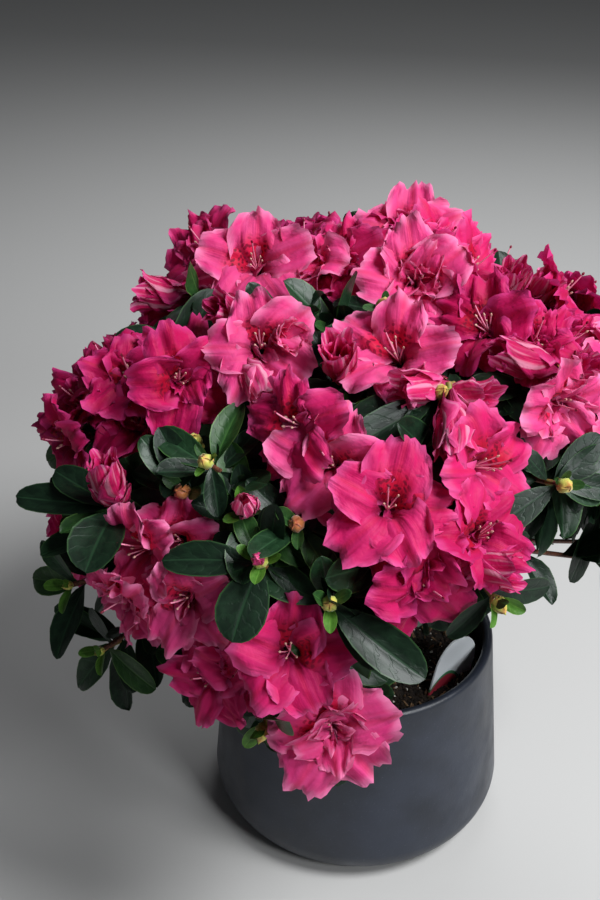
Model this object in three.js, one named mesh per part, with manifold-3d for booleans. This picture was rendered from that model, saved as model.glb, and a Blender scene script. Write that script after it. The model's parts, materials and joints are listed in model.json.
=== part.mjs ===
// A florist's azalea in a dark ceramic pot: pot, compost, plant label, a short stem, boughs, and a
// domed crown of leafy twigs with large semi-double blooms. Millimetres, +Z up. The origin is the
// middle of the pot's flat underside, and the crown's front looks along -Y.
import * as THREE from "three";
import { mergeVertices } from "three/addons/utils/BufferGeometryUtils.js";
import Module from "manifold-3d";

const wasm = await Module();
wasm.setup();

// The pot narrows a little from its belly to its rim, and turns in to the foot with a soft corner.
const RIM_RADIUS = 85;
const BELLY_RADIUS = 95;
const POT_HEIGHT = 130;
const POT_WALL = 6;
const POT_FLOOR = 9;
const FOOT_CORNER = 22;
const SHOULDER_HEIGHT = 80;
const SHOULDER_RADIUS = 89.5;
const POT_SIDES = 32;
const CORNER_STEPS = 3;

const COMPOST_LEVEL = POT_HEIGHT - 24;
const COMPOST = { lump: 2.2, rings: 5, sides: 24, levelRound: 8 };
const LABEL = { width: 38, length: 68, thick: 1, across: 48, forward: -35, lean: 0, tilt: -17, turn: 42 };

// Pieces that meet keep this gap, and leaves and blooms of neighbouring masses the wider one.
const GAP = 0.3;
const LEEWAY = 0.6;
const ROUNDING = 1e-3;
const NO_VOLUME = 1e-6;
const SPLINTER = 4e-4;
const NUDGES = [
  [0, 0, 0],
  [0.1, -0.05, 0.07],
  [-0.08, 0.09, 0.05],
  [0.04, 0.1, -0.1],
  [0.15, 0.12, -0.14],
  [-0.17, -0.12, 0.12],
  [0.05, -0.17, -0.15],
];
const SIMPLIFYING = [0.12, 0.1, 0.07, 0.05, 0.04, 0.03, 0.02, 0.01];

// The crown is a dome: its middle, and how far the faces of the blooms are from it.
const CROWN_CENTRE = new THREE.Vector3(-5, 5, 245);
const CROWN_REACH = new THREE.Vector3(198, 185, 150);
// Each mass springs from this share of the crown's reach.
const HEART_SHARE = 0.36;

const BLOOM_RADIUS = 30;
const BLOOM_DEPTH = 25;
const LEAF_LENGTH = 47;
const LEAF_WIDTH = 20;
const LEAF_THICK = 1.6;
const LEAF_CUP = 0.6;
const LEAF_DROOP = 4;
const TWIG_RADIUS = 1.7;
const TWIG_BOWS = [0.4, 0.15, 0.65];
const FIRST_TWIG = 0.25;
const BLOOM_SIZES = [1, 0.9, 0.8, 0.7, 0.6, 0.5];
const BLOOM_ROOM = [0.98, 1, 1.04];
const SPRAY_STEM = { foot: 2.9, tip: 2, sides: 5, reach: 0.62 };

const BOUGH = { mainFoot: 5, sideFoot: 3.8, tip: 2.9, sides: 5, steps: 4, leave: 0.72 };
const STEM = { foot: 14, waist: 8.5, top: 9.5, height: 52, lean: 5, sunk: 6 };

const COLOURS = {
  ceramic: new THREE.MeshStandardMaterial({ color: 0x2b2f38, roughness: 0.55 }),
  compost: new THREE.MeshStandardMaterial({ color: 0x1d1714, roughness: 1 }),
  card: new THREE.MeshStandardMaterial({ color: 0xdfe6e6, roughness: 0.4 }),
  bark: new THREE.MeshStandardMaterial({ color: 0x5b3a28, roughness: 0.9 }),
  blossom: new THREE.MeshStandardMaterial({ color: 0xd02c68, roughness: 0.6 }),
};

// Each mass of the crown with the way its bough comes, and its shoots. A shoot's first two numbers
// say where its face lies on the crown, as degrees round from the front (right is positive) and
// degrees up. Then comes what it bears, and where that looks, as degrees round and degrees up. The
// sides and back are rings of shoots, drawn in to a share of the crown's reach.
const MASSES = {
  top: {
    from: "stem",
    shoots: [
      [-30, 80, "ruffled", -35, 45, 0.96],
      [125, 80, "ruffled", 0, 50, 0.95],
      [98, 75, "ruffled", 50, 45, 0.95],
      [22, 71, "ruffled", 0, 32],
      [60, 69, "open", 70, 30],
      [5, 66, "leafy", 0, 50],
    ],
  },
  upper_left: {
    from: "top",
    shoots: [
      [-61, 71, "open", -5, 42],
      [-98, 63, "ruffled", -60, 40],
      [-28, 56, "open", 0, 36],
      [-46, 60, "furled", -60, 40],
      [-68, 51, "leafy", -80, 35],
      [-76, 55, "furled", -90, 10],
    ],
  },
  centre: {
    from: "top",
    shoots: [
      [5, 57, "open", -25, 45],
      [21, 47, "furled", 55, 20],
      [14, 41, "furled", 5, -45],
      [-8, 56, "furled", -15, 60],
      [14, 49, "leafy", 10, 45],
    ],
  },
  upper_right: {
    from: "stem",
    shoots: [
      [32, 60, "open", -45, 45],
      [62, 65, "furled", 10, 70],
      [70, 60, "furled", 60, 65],
      [76, 55, "open", 80, 35],
      [34, 53, "furled", -35, 40],
      [46, 54, "ruffled", 20, 50],
      [50, 46, "furled", 50, 45],
    ],
  },
  right: {
    from: "upper_right",
    shoots: [
      [38, 41, "ruffled", 25, 5],
      [31, 30, "leafy", 20, 25],
      [53, 33, "open", 55, 25],
      [60, 20, "leafy", 70, 10],
      [70, 40, "ruffled", 75, 40],
    ],
  },
  front: {
    from: "stem",
    shoots: [
      [-8, 37, "open", -20, 30],
      [2, 31, "open", 5, 33],
      [-16, 43, "open", -40, 25],
      [20, 35, "open", 45, 15],
    ],
  },
  front_right: {
    from: "front",
    shoots: [
      [8, 16, "open", 25, 0],
      [5, 23, "ruffled", -15, 30],
      [17, 25, "open", 40, 35],
      [18, 19, "furled", 70, 10],
      [17, 13, "leafy", 30, -20],
    ],
  },
  front_left: {
    from: "front",
    shoots: [
      [-28, 35, "leafy", -20, 45],
      [-20, 30, "buds", -5, 50],
      [-16, 21, "leafy", -10, 45],
      [-6, 15, "leafy", 0, 40],
    ],
  },
  left: {
    from: "stem",
    shoots: [
      [-65, 33, "ruffled", -65, 40],
      [-55, 43, "open", -25, 55],
      [-40, 46, "open", 15, 25],
      [-60, 25, "open", -45, 5],
      [-44, 27, "buds", -20, 50],
    ],
  },
  lower_left: {
    from: "left",
    shoots: [
      [-36, 16, "open", -45, 10],
      [-38, 4, "ruffled", -45, -15],
      [-27, 9, "open", -15, 10],
      [-50, 1, "leafy", -45, 15],
      [-46, -14, "leafy", -40, 5],
    ],
  },
  lower_front: {
    from: "front",
    shoots: [
      [-24, -7, "open", -30, 15],
      [-5, -17, "ruffled", 5, 22],
      [-11, 4, "open", 0, 30],
      [-16, -19, "leafy", -20, -35],
    ],
  },
  far_right: { from: "upper_right", ring: { azimuth: 98, elevation: 20, share: 0.95, count: 5 } },
  back_right: { from: "back", ring: { azimuth: 137, elevation: 20, share: 0.93, count: 5 } },
  back: { from: "stem", ring: { azimuth: 178, elevation: 24, share: 0.97, count: 5 } },
  back_left: { from: "back", ring: { azimuth: -141, elevation: 20, share: 0.88, count: 5 } },
  far_left: { from: "left", ring: { azimuth: -98, elevation: 14, share: 0.84, count: 5 } },
  crest: { from: "top", ring: { azimuth: 175, elevation: 58, share: 0.92, count: 4 } },
};

// What the shoots of a ring bear, in turn, and how wide the ring spreads in degrees.
const RING_KINDS = ["ruffled", "open", "leafy", "open", "ruffled", "furled"];
const RING_SPREAD = 24;
const GOLDEN_ANGLE = 137.5;
const degrees = THREE.MathUtils.degToRad;

const FURLED = { length: 34, radius: 10.5, sides: 5 };
const BUD = { length: 22, radius: 5, sides: 4 };
const LEAF_BUD = { length: 13, radius: 3.6, sides: 4 };

// What each kind of shoot bears: how deep its foot lies under its face, and how many leaves.
const KINDS = {
  open: { depth: BLOOM_DEPTH, leaves: 2, leafLift: 5 },
  ruffled: { depth: BLOOM_DEPTH, leaves: 2, leafLift: 5 },
  furled: { depth: FURLED.length * 0.7, leaves: 2, leafLift: 12 },
  buds: { depth: BUD.length * 0.7, leaves: 5, leafLift: 14 },
  leafy: { depth: 4, leaves: 6, leafLift: 14 },
};

// A small seeded generator of numbers from 0 to 1.
function dice(seed) {
  let state = seed >>> 0;
  return () => {
    state = (Math.imul(state, 1664525) + 1013904223) >>> 0;
    return state / 4294967296;
  };
}

// The direction that lies this far round from the front and this far up.
function heading(azimuth, elevation) {
  const round = degrees(azimuth);
  const up = degrees(elevation);
  return new THREE.Vector3(
    Math.sin(round) * Math.cos(up),
    -Math.cos(round) * Math.cos(up),
    Math.sin(up),
  );
}

function crownPoint(azimuth, elevation, share = 1) {
  return heading(azimuth, elevation).multiply(CROWN_REACH).multiplyScalar(share).add(CROWN_CENTRE);
}

// The shoots of a mass that no list gives: spread round its middle by the golden angle.
function ringShoots({ azimuth, elevation, share, count }) {
  return Array.from({ length: count }, (_, i) => {
    const away = RING_SPREAD * Math.sqrt((i + 0.4) / count);
    const turn = degrees(i * GOLDEN_ANGLE);
    const up = elevation + away * Math.sin(turn);
    const round = azimuth + (away * Math.cos(turn)) / Math.cos(degrees(up));
    return [round, up, RING_KINDS[i % RING_KINDS.length], round, 0.8 * up, share];
  });
}

// Turns a closed geometry into a solid for cutting and joining.
function solidOf(geometry) {
  const bare = new THREE.BufferGeometry().setAttribute("position", geometry.getAttribute("position"));
  if (geometry.index) bare.setIndex(geometry.index);
  const merged = mergeVertices(bare, ROUNDING);
  return new wasm.Manifold(
    new wasm.Mesh({
      numProp: 3,
      vertProperties: merged.attributes.position.array,
      triVerts: new Uint32Array(merged.index.array),
    }),
  );
}

function geometryOf(solid) {
  const mesh = solid.getMesh();
  const places = new Float32Array(mesh.numVert * 3);
  for (let i = 0; i < mesh.numVert; i++) {
    places.set(mesh.vertProperties.subarray(i * mesh.numProp, i * mesh.numProp + 3), i * 3);
  }
  const geometry = new THREE.BufferGeometry()
    .setAttribute("position", new THREE.BufferAttribute(places, 3))
    .setIndex(new THREE.BufferAttribute(mesh.triVerts, 1));
  geometry.computeVertexNormals();
  return geometry;
}

function geometryFrom(points, triangles) {
  return new THREE.BufferGeometry()
    .setAttribute("position", new THREE.Float32BufferAttribute(points.flatMap((p) => [p.x, p.y, p.z]), 3))
    .setIndex(triangles.flat());
}

const overlap = (a, b) => a.intersect(b).volume() > NO_VOLUME;
const largest = (solid) => solid.decompose().reduce((a, b) => (a.volume() > b.volume() ? a : b));

// True if no face of a solid is a mere splinter and no two corners lie so close that rounding them
// would pinch it.
function isSound(solid) {
  const { numProp, vertProperties, triVerts } = solid.getMesh();
  const edges = new Set();
  const place = (v) => new THREE.Vector3().fromArray(vertProperties, v * numProp);
  const key = (point) => point.toArray().map((n) => Math.round(n / ROUNDING)).join();
  for (let i = 0; i < triVerts.length; i += 3) {
    const corners = [0, 1, 2].map((c) => place(triVerts[i + c]));
    const longest = Math.max(...corners.map((corner, c) => corner.distanceTo(corners[(c + 1) % 3])));
    if ((2 * new THREE.Triangle(...corners).getArea()) / longest < SPLINTER) return false;
    const keys = corners.map(key);
    for (let c = 0; c < 3; c++) {
      const edge = keys[c] + ">" + keys[(c + 1) % 3];
      if (edges.has(edge)) return false;
      edges.add(edge);
    }
  }
  return true;
}

// Joins a piece to a mass, moved a little if that keeps the joint sound, or else leaves it out.
function joined(mass, piece) {
  for (const [x, y, z] of NUDGES) {
    const both = mass.add(piece.translate(x, y, z));
    if (isSound(both)) return both;
  }
  return mass;
}

// Drops corners that hardly show, as many as leave the solid sound, and keeps its main body.
function tidied(solid, isFree) {
  const tries = SIMPLIFYING.map((most) => largest(solid.simplify(most)));
  return tries.find((candidate) => isSound(candidate) && isFree(candidate)) ?? solid;
}

// A limb along a curve, round in section and tapering, with a flat cut at each end.
function limb(curve, radiusAt, sides, steps) {
  const frames = curve.computeFrenetFrames(steps, false);
  const points = [];
  for (let i = 0; i <= steps; i++) {
    const middle = curve.getPointAt(i / steps);
    for (let j = 0; j < sides; j++) {
      const turn = (2 * Math.PI * j) / sides;
      points.push(
        middle
          .clone()
          .addScaledVector(frames.normals[i], radiusAt(i / steps) * Math.cos(turn))
          .addScaledVector(frames.binormals[i], radiusAt(i / steps) * Math.sin(turn)),
      );
    }
  }
  const triangles = [];
  for (let i = 0; i < steps; i++) {
    for (let j = 0; j < sides; j++) {
      const next = (j + 1) % sides;
      const [a, b] = [i * sides + j, i * sides + next];
      triangles.push([a, b, b + sides], [a, b + sides, a + sides]);
    }
  }
  for (let j = 1; j < sides - 1; j++) {
    const end = steps * sides;
    triangles.push([0, j + 1, j], [end, end + j, end + j + 1]);
  }
  return solidOf(geometryFrom(points, triangles));
}

// Puts a piece made along +Z at a point, looking along a direction and turned about it.
function placed(geometry, point, direction, turn = 0) {
  const upright = new THREE.Vector3(0, 0, 1);
  const spin = new THREE.Quaternion().setFromAxisAngle(upright, turn);
  const aim = new THREE.Quaternion().setFromUnitVectors(upright, direction);
  return geometry
    .clone()
    .applyQuaternion(aim.multiply(spin))
    .translate(point.x, point.y, point.z);
}

// An open corolla: a funnel from its calyx, flaring to five waved petals with notches between.
function bloomGeometry(radius, depth, petals, wave) {
  const perPetal = 3;
  const rimCount = petals * perPetal;
  const reach = [0.78, 1, 0.97];
  const points = [new THREE.Vector3(0, 0, -4), new THREE.Vector3(0, 0, depth * 0.45)];
  for (let j = 0; j < petals; j++) {
    const turn = (2 * Math.PI * (j * perPetal + 1.5)) / rimCount;
    const throat = radius * 0.34;
    points.push(new THREE.Vector3(throat * Math.cos(turn), throat * Math.sin(turn), depth * 0.42));
  }
  for (let j = 0; j < rimCount; j++) {
    const turn = (2 * Math.PI * j) / rimCount;
    const far = radius * reach[j % perPetal];
    const height = depth + wave * Math.cos(j * 2.3);
    points.push(new THREE.Vector3(far * Math.cos(turn), far * Math.sin(turn), height));
  }
  const [base, well, throatStart, rimStart] = [0, 1, 2, 2 + petals];
  const triangles = [];
  for (let j = 0; j < rimCount; j++) {
    const next = rimStart + ((j + 1) % rimCount);
    triangles.push([well, rimStart + j, next]);
    triangles.push([throatStart + Math.floor(j / perPetal), next, rimStart + j]);
  }
  for (let j = 0; j < petals; j++) {
    const next = (j + 1) % petals;
    const notch = rimStart + next * perPetal;
    triangles.push([throatStart + j, throatStart + next, notch]);
    triangles.push([base, throatStart + next, throatStart + j]);
  }
  return geometryFrom(points, triangles);
}

// A leaf as a flat, pointed lozenge that lies along +X from its root, facing +Z. It can be made
// larger all round, to see whether it has room.
function leafGeometry(size, swell) {
  const sunk = -0.8;
  const length = LEAF_LENGTH * size;
  const half = (LEAF_WIDTH * size) / 2 + 1.5 * swell;
  const thick = LEAF_THICK / 2 + swell;
  const points = [
    new THREE.Vector3(sunk, 0, 0),
    new THREE.Vector3(length * 0.55, half, LEAF_CUP),
    new THREE.Vector3(length + 2 * swell, 0, -LEAF_DROOP),
    new THREE.Vector3(length * 0.55, -half, LEAF_CUP),
    new THREE.Vector3(length * 0.35, 0, thick),
    new THREE.Vector3(length * 0.35, 0, -thick),
  ];
  const [root, left, tip, right, top, under] = [0, 1, 2, 3, 4, 5];
  const triangles = [];
  [[root, right], [right, tip], [tip, left], [left, root]].forEach(([a, b]) => {
    triangles.push([a, b, top], [b, a, under]);
  });
  return geometryFrom(points, triangles);
}

// A closed bud: a slim pointed solid along +Z.
function budGeometry(length, radius, sides) {
  const profile = [
    new THREE.Vector2(0, -3),
    new THREE.Vector2(radius * 0.6, length * 0.12),
    new THREE.Vector2(radius, length * 0.6),
    new THREE.Vector2(0, length),
  ];
  return new THREE.LatheGeometry(profile, sides).rotateX(Math.PI / 2);
}

// The shoots of a mass with their faces, feet and directions worked out.
function shootsOf(mass) {
  return (mass.shoots ?? ringShoots(mass.ring)).map(([azimuth, elevation, kind, round, up, share]) => {
    const look = heading(round, up);
    const foot = crownPoint(azimuth, elevation, share).addScaledVector(look, -KINDS[kind].depth);
    return { kind, look, foot };
  });
}

// The heart of a mass: where its bough ends and its twigs part.
function heartOf(shoots) {
  const middle = new THREE.Vector3();
  shoots.forEach((shoot) => middle.add(shoot.foot));
  middle.divideScalar(shoots.length);
  return middle.sub(CROWN_CENTRE).multiplyScalar(HEART_SHARE).add(CROWN_CENTRE);
}

// The pot's foot corner, on its outside or, set in by the wall, on its inside.
function footProfile(inset) {
  const outline = [];
  const corner = FOOT_CORNER - inset;
  const belly = BELLY_RADIUS - inset;
  const floor = inset ? POT_FLOOR : 0;
  for (let i = 0; i <= CORNER_STEPS; i++) {
    const turn = ((Math.PI / 2) * i) / CORNER_STEPS;
    outline.push(
      new THREE.Vector2(belly - corner + corner * Math.sin(turn), floor + corner - corner * Math.cos(turn)),
    );
  }
  return outline;
}

function potGeometry() {
  const lip = POT_WALL / 2;
  const outline = [new THREE.Vector2(0, 0), ...footProfile(0)];
  outline.push(new THREE.Vector2(SHOULDER_RADIUS, SHOULDER_HEIGHT));
  [0, 0.3, 1, 1.7, 2].forEach((inwards) => {
    const fall = lip * (1 - Math.sqrt(1 - (1 - inwards) ** 2));
    outline.push(new THREE.Vector2(RIM_RADIUS - inwards * lip, POT_HEIGHT - fall));
  });
  outline.push(new THREE.Vector2(SHOULDER_RADIUS - POT_WALL, SHOULDER_HEIGHT));
  outline.push(...footProfile(POT_WALL).reverse(), new THREE.Vector2(0, POT_FLOOR));
  return new THREE.LatheGeometry(outline, POT_SIDES).rotateX(Math.PI / 2);
}

// The pot's inner radius at a height above its corner.
function innerRadius(height) {
  const outer =
    height > SHOULDER_HEIGHT
      ? THREE.MathUtils.mapLinear(height, SHOULDER_HEIGHT, POT_HEIGHT, SHOULDER_RADIUS, RIM_RADIUS)
      : THREE.MathUtils.mapLinear(height, FOOT_CORNER, SHOULDER_HEIGHT, BELLY_RADIUS, SHOULDER_RADIUS);
  return outer - POT_WALL;
}

// The compost fills the pot, lumpy on top but level where the stem stands.
function compostSolid() {
  const { rings, sides } = COMPOST;
  const roll = dice(7);
  const rim = innerRadius(COMPOST_LEVEL) - 2 * GAP;
  const level = STEM.foot + COMPOST.levelRound;
  const points = [new THREE.Vector3(0, 0, COMPOST_LEVEL)];
  for (let i = 0; i <= rings; i++) {
    const radius = THREE.MathUtils.lerp(level, rim, i / rings);
    for (let j = 0; j < sides; j++) {
      const turn = (2 * Math.PI * (j + (i % 2) / 2)) / sides;
      const lump = i === 0 ? 0 : COMPOST.lump * (roll() - 0.5);
      points.push(
        new THREE.Vector3(radius * Math.cos(turn), radius * Math.sin(turn), COMPOST_LEVEL + lump),
      );
    }
  }
  const lower = [
    [SHOULDER_RADIUS - POT_WALL - 2 * GAP, SHOULDER_HEIGHT],
    [innerRadius(FOOT_CORNER + POT_FLOOR) - 4 * GAP, FOOT_CORNER + POT_FLOOR],
    [BELLY_RADIUS - FOOT_CORNER - POT_WALL, POT_FLOOR + GAP],
  ];
  lower.forEach(([radius, height], k) => {
    for (let j = 0; j < sides; j++) {
      const turn = (2 * Math.PI * (j + ((rings + k + 1) % 2) / 2)) / sides;
      points.push(new THREE.Vector3(radius * Math.cos(turn), radius * Math.sin(turn), height));
    }
  });
  points.push(new THREE.Vector3(0, 0, POT_FLOOR + GAP));
  const triangles = [];
  const bands = rings + lower.length;
  for (let j = 0; j < sides; j++) {
    const next = (j + 1) % sides;
    triangles.push([0, 1 + j, 1 + next]);
    for (let i = 0; i < bands; i++) {
      const inner = 1 + i * sides;
      const outer = inner + sides;
      const [a, b, c, d] = [inner + j, inner + next, outer + j, outer + next];
      triangles.push(...(i % 2 ? [[a, d, b], [a, c, d]] : [[a, c, b], [b, c, d]]));
    }
    triangles.push([points.length - 1, 1 + bands * sides + next, 1 + bands * sides + j]);
  }
  return solidOf(geometryFrom(points, triangles));
}

// The label is a card with a rounded head, pushed into the compost and leaning on the wall.
function labelSolid(swell = 0) {
  const half = LABEL.width / 2 + swell;
  const outline = new THREE.Shape();
  outline.moveTo(0, -swell);
  outline.lineTo(half, half);
  outline.lineTo(half, LABEL.length - half);
  outline.absarc(0, LABEL.length - half, half, 0, Math.PI);
  outline.lineTo(-half, half);
  const card = new THREE.ExtrudeGeometry(outline, {
    depth: LABEL.thick + 2 * swell,
    bevelEnabled: false,
    curveSegments: 5,
  });
  card
    .translate(0, 0, -LABEL.thick / 2 - swell)
    .rotateZ(degrees(LABEL.tilt))
    .rotateX(degrees(90 - LABEL.lean))
    .rotateZ(degrees(LABEL.turn))
    .translate(LABEL.across, LABEL.forward, COMPOST_LEVEL - LABEL.length * 0.5);
  return solidOf(card);
}

function stemCurve() {
  const foot = COMPOST_LEVEL - STEM.sunk;
  return new THREE.CatmullRomCurve3([
    new THREE.Vector3(0, 0, foot),
    new THREE.Vector3(-0.2 * STEM.lean, 0.2 * STEM.lean, foot + 0.3 * STEM.height),
    new THREE.Vector3(-0.6 * STEM.lean, 0.7 * STEM.lean, foot + 0.65 * STEM.height),
    new THREE.Vector3(-STEM.lean, STEM.lean, foot + STEM.height),
  ]);
}

function stemRadius(share) {
  const flare = STEM.foot - STEM.waist;
  return STEM.waist + flare * Math.exp(-9 * share) + (STEM.top - STEM.waist) * share ** 3;
}

// A bough's line: it leaves its parent upwards and bends out to the heart of its mass.
function boughCurve(start, heart, main) {
  const rise = new THREE.Vector3(start.x, start.y, main ? heart.z * 0.72 + start.z * 0.28 : heart.z);
  const bend = rise.lerp(heart, main ? 0.3 : 0.45);
  return new THREE.QuadraticBezierCurve3(start, bend, heart);
}

// All limbs. Each is cut clear of those before it.
function growLimbs(hearts) {
  const stem = stemCurve();
  const cutFlat = limb(stem, stemRadius, 10, 7).trimByPlane([0, 0, 1], COMPOST_LEVEL + GAP);
  const limbs = { stem: { curve: stem, solid: cutFlat } };
  let taken = limb(stem, (share) => stemRadius(share) + GAP, 10, 7);
  const roll = dice(11);
  for (const side of [false, true]) {
    for (const [name, mass] of Object.entries(MASSES)) {
      if ((mass.from !== "stem") !== side) continue;
      const parent = limbs[mass.from].curve;
      const start = parent.getPointAt(side ? 0.45 + 0.3 * roll() : BOUGH.leave + 0.2 * roll());
      const curve = boughCurve(start, hearts[name], !side);
      const foot = side ? BOUGH.sideFoot : BOUGH.mainFoot;
      const radius = (share) => foot + (BOUGH.tip - foot) * share;
      const whole = limb(curve, radius, BOUGH.sides, BOUGH.steps);
      const solid = largest(whole.subtract(taken));
      taken = taken.add(limb(curve, (share) => radius(share) + GAP, BOUGH.sides, BOUGH.steps));
      limbs[name] = { curve, solid };
    }
  }
  return { limbs, taken };
}

// The stem of a mass goes on from its bough's tip towards the middle of its shoots.
function sprayStem(start, along, shoots) {
  const middle = new THREE.Vector3();
  shoots.forEach((shoot) => middle.addScaledVector(shoot.foot, 1 / shoots.length));
  const end = start.clone().lerp(middle, SPRAY_STEM.reach);
  const bend = start.clone().addScaledVector(along, start.distanceTo(end) * 0.4);
  return new THREE.QuadraticBezierCurve3(start, bend, end);
}

// A twig leaves the stem of its mass and bends to come up under its shoot.
function twigCurve(stem, share, shoot, bow) {
  const start = stem.getPointAt(share);
  const length = start.distanceTo(shoot.foot);
  const bend = shoot.foot.clone().addScaledVector(shoot.look, -length * bow);
  return new THREE.QuadraticBezierCurve3(start, bend, shoot.foot);
}

// What a shoot bears at its tip, in a size and turned as asked.
function burden(shoot, size, turn) {
  const blooms = {
    open: () => bloomGeometry(BLOOM_RADIUS, BLOOM_DEPTH, 5, 2.5),
    ruffled: () => bloomGeometry(BLOOM_RADIUS, BLOOM_DEPTH, 5, 4.5),
    furled: () => budGeometry(FURLED.length, FURLED.radius, FURLED.sides),
    buds: () => budGeometry(BUD.length, BUD.radius, BUD.sides),
    leafy: () => budGeometry(LEAF_BUD.length, LEAF_BUD.radius, LEAF_BUD.sides),
  };
  const piece = blooms[shoot.kind]().scale(size, size, size);
  return solidOf(placed(piece, shoot.foot, shoot.look, turn));
}

// The leaves of a shoot stand round it below what it bears, tipped up towards its face.
function leavesOf(shoot, roll, swell) {
  const { leaves, leafLift } = KINDS[shoot.kind];
  const start = 360 * roll();
  const side = new THREE.Vector3(0, 0, 1).cross(shoot.look).normalize();
  return Array.from({ length: leaves }, (_, i) => {
    const turn = degrees(start + (360 / leaves) * i + 30 * (roll() - 0.5));
    const size = 0.82 + 0.3 * roll();
    const tip = degrees(leafLift + 20 * (roll() - 0.5));
    const leaf = leafGeometry(size, swell);
    leaf.rotateY(-tip).rotateZ(turn);
    const root = shoot.foot.clone().addScaledVector(shoot.look, -3.5 - 1.5 * i);
    const frame = new THREE.Matrix4().makeBasis(
      side,
      new THREE.Vector3().crossVectors(shoot.look, side),
      shoot.look,
    );
    return leaf.applyMatrix4(frame.setPosition(root));
  });
}

// Grows every mass: first all stems, then the twigs, then what they bear, then the leaves. A twig
// that would touch a limb or another mass bends another way, a bloom is made smaller, and what
// still would touch is left out.
function growMasses(shootsByMass, { limbs, taken }) {
  const grown = {};
  const names = Object.keys(shootsByMass);
  const free = (name, solid) =>
    !overlap(solid, taken) &&
    Object.entries(grown).every(([other, mass]) => other === name || !overlap(solid, mass));
  const stems = {};
  let stemsTaken = taken;
  for (const name of names) {
    const bough = limbs[name].curve;
    const along = bough.getTangentAt(1);
    const start = bough.getPointAt(1).addScaledVector(along, GAP);
    stems[name] = sprayStem(start, along, shootsByMass[name]);
    const stemOf = (swell) => {
      const taper = (share) => SPRAY_STEM.foot + (SPRAY_STEM.tip - SPRAY_STEM.foot) * share + swell;
      return limb(stems[name], taper, SPRAY_STEM.sides, 2);
    };
    grown[name] = largest(stemOf(0).subtract(stemsTaken));
    stemsTaken = stemsTaken.add(stemOf(GAP));
  }
  const borne = {};
  for (const name of names) {
    const twigOf = (curve, radius) => limb(curve, () => radius, 3, 2);
    borne[name] = shootsByMass[name].filter((shoot, i, { length }) => {
      const share = FIRST_TWIG + ((1 - FIRST_TWIG) * (i + 0.5)) / length;
      return TWIG_BOWS.some((bow) => {
        const curve = twigCurve(stems[name], share, shoot, bow);
        if (!free(name, twigOf(curve, TWIG_RADIUS + GAP))) return false;
        const before = grown[name];
        grown[name] = joined(before, twigOf(curve, TWIG_RADIUS));
        return grown[name] !== before;
      });
    });
  }
  names.forEach((name, k) => {
    const roll = dice(100 + k);
    for (const shoot of borne[name]) {
      const turn = 2 * Math.PI * roll();
      const size = BLOOM_SIZES.find((scale) =>
        BLOOM_ROOM.every((swell) => free(name, burden(shoot, scale * swell, turn))),
      );
      shoot.solid = size && burden(shoot, size, turn);
      if (size) grown[name] = joined(grown[name], shoot.solid);
    }
  });
  names.forEach((name, k) => {
    borne[name].forEach((shoot, i) => {
      const clearances = leavesOf(shoot, dice(1000 * k + i), LEEWAY).map(solidOf);
      leavesOf(shoot, dice(1000 * k + i), 0).forEach((leaf, j) => {
        const crosses = (other) => other !== shoot && other.solid && overlap(other.solid, clearances[j]);
        if (!borne[name].some(crosses) && free(name, clearances[j])) {
          grown[name] = joined(grown[name], solidOf(leaf));
        }
      });
    });
    grown[name] = tidied(grown[name], (solid) => free(name, solid));
  });
  return grown;
}

function addPiece(group, name, geometry, material) {
  const piece = new THREE.Mesh(geometry, material);
  piece.name = name;
  group.add(piece);
}

const azalea = new THREE.Group();
azalea.name = "azalea";

addPiece(azalea, "pot", potGeometry(), COLOURS.ceramic);
addPiece(azalea, "compost", geometryOf(compostSolid().subtract(labelSolid(GAP))), COLOURS.compost);
addPiece(azalea, "plant_label", geometryOf(labelSolid()), COLOURS.card);

const shootsByMass = {};
const hearts = {};
for (const [name, mass] of Object.entries(MASSES)) {
  shootsByMass[name] = shootsOf(mass);
  hearts[name] = heartOf(shootsByMass[name]);
}
const grownLimbs = growLimbs(hearts);
for (const [name, { solid }] of Object.entries(grownLimbs.limbs)) {
  addPiece(azalea, name === "stem" ? "stem" : "bough_" + name, geometryOf(solid), COLOURS.bark);
}
for (const [name, solid] of Object.entries(growMasses(shootsByMass, grownLimbs))) {
  addPiece(azalea, "mass_" + name, geometryOf(solid), COLOURS.blossom);
}

export default azalea;
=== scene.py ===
import json
import math

import bpy
import numpy as np
from mathutils import Matrix, Vector, noise

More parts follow.
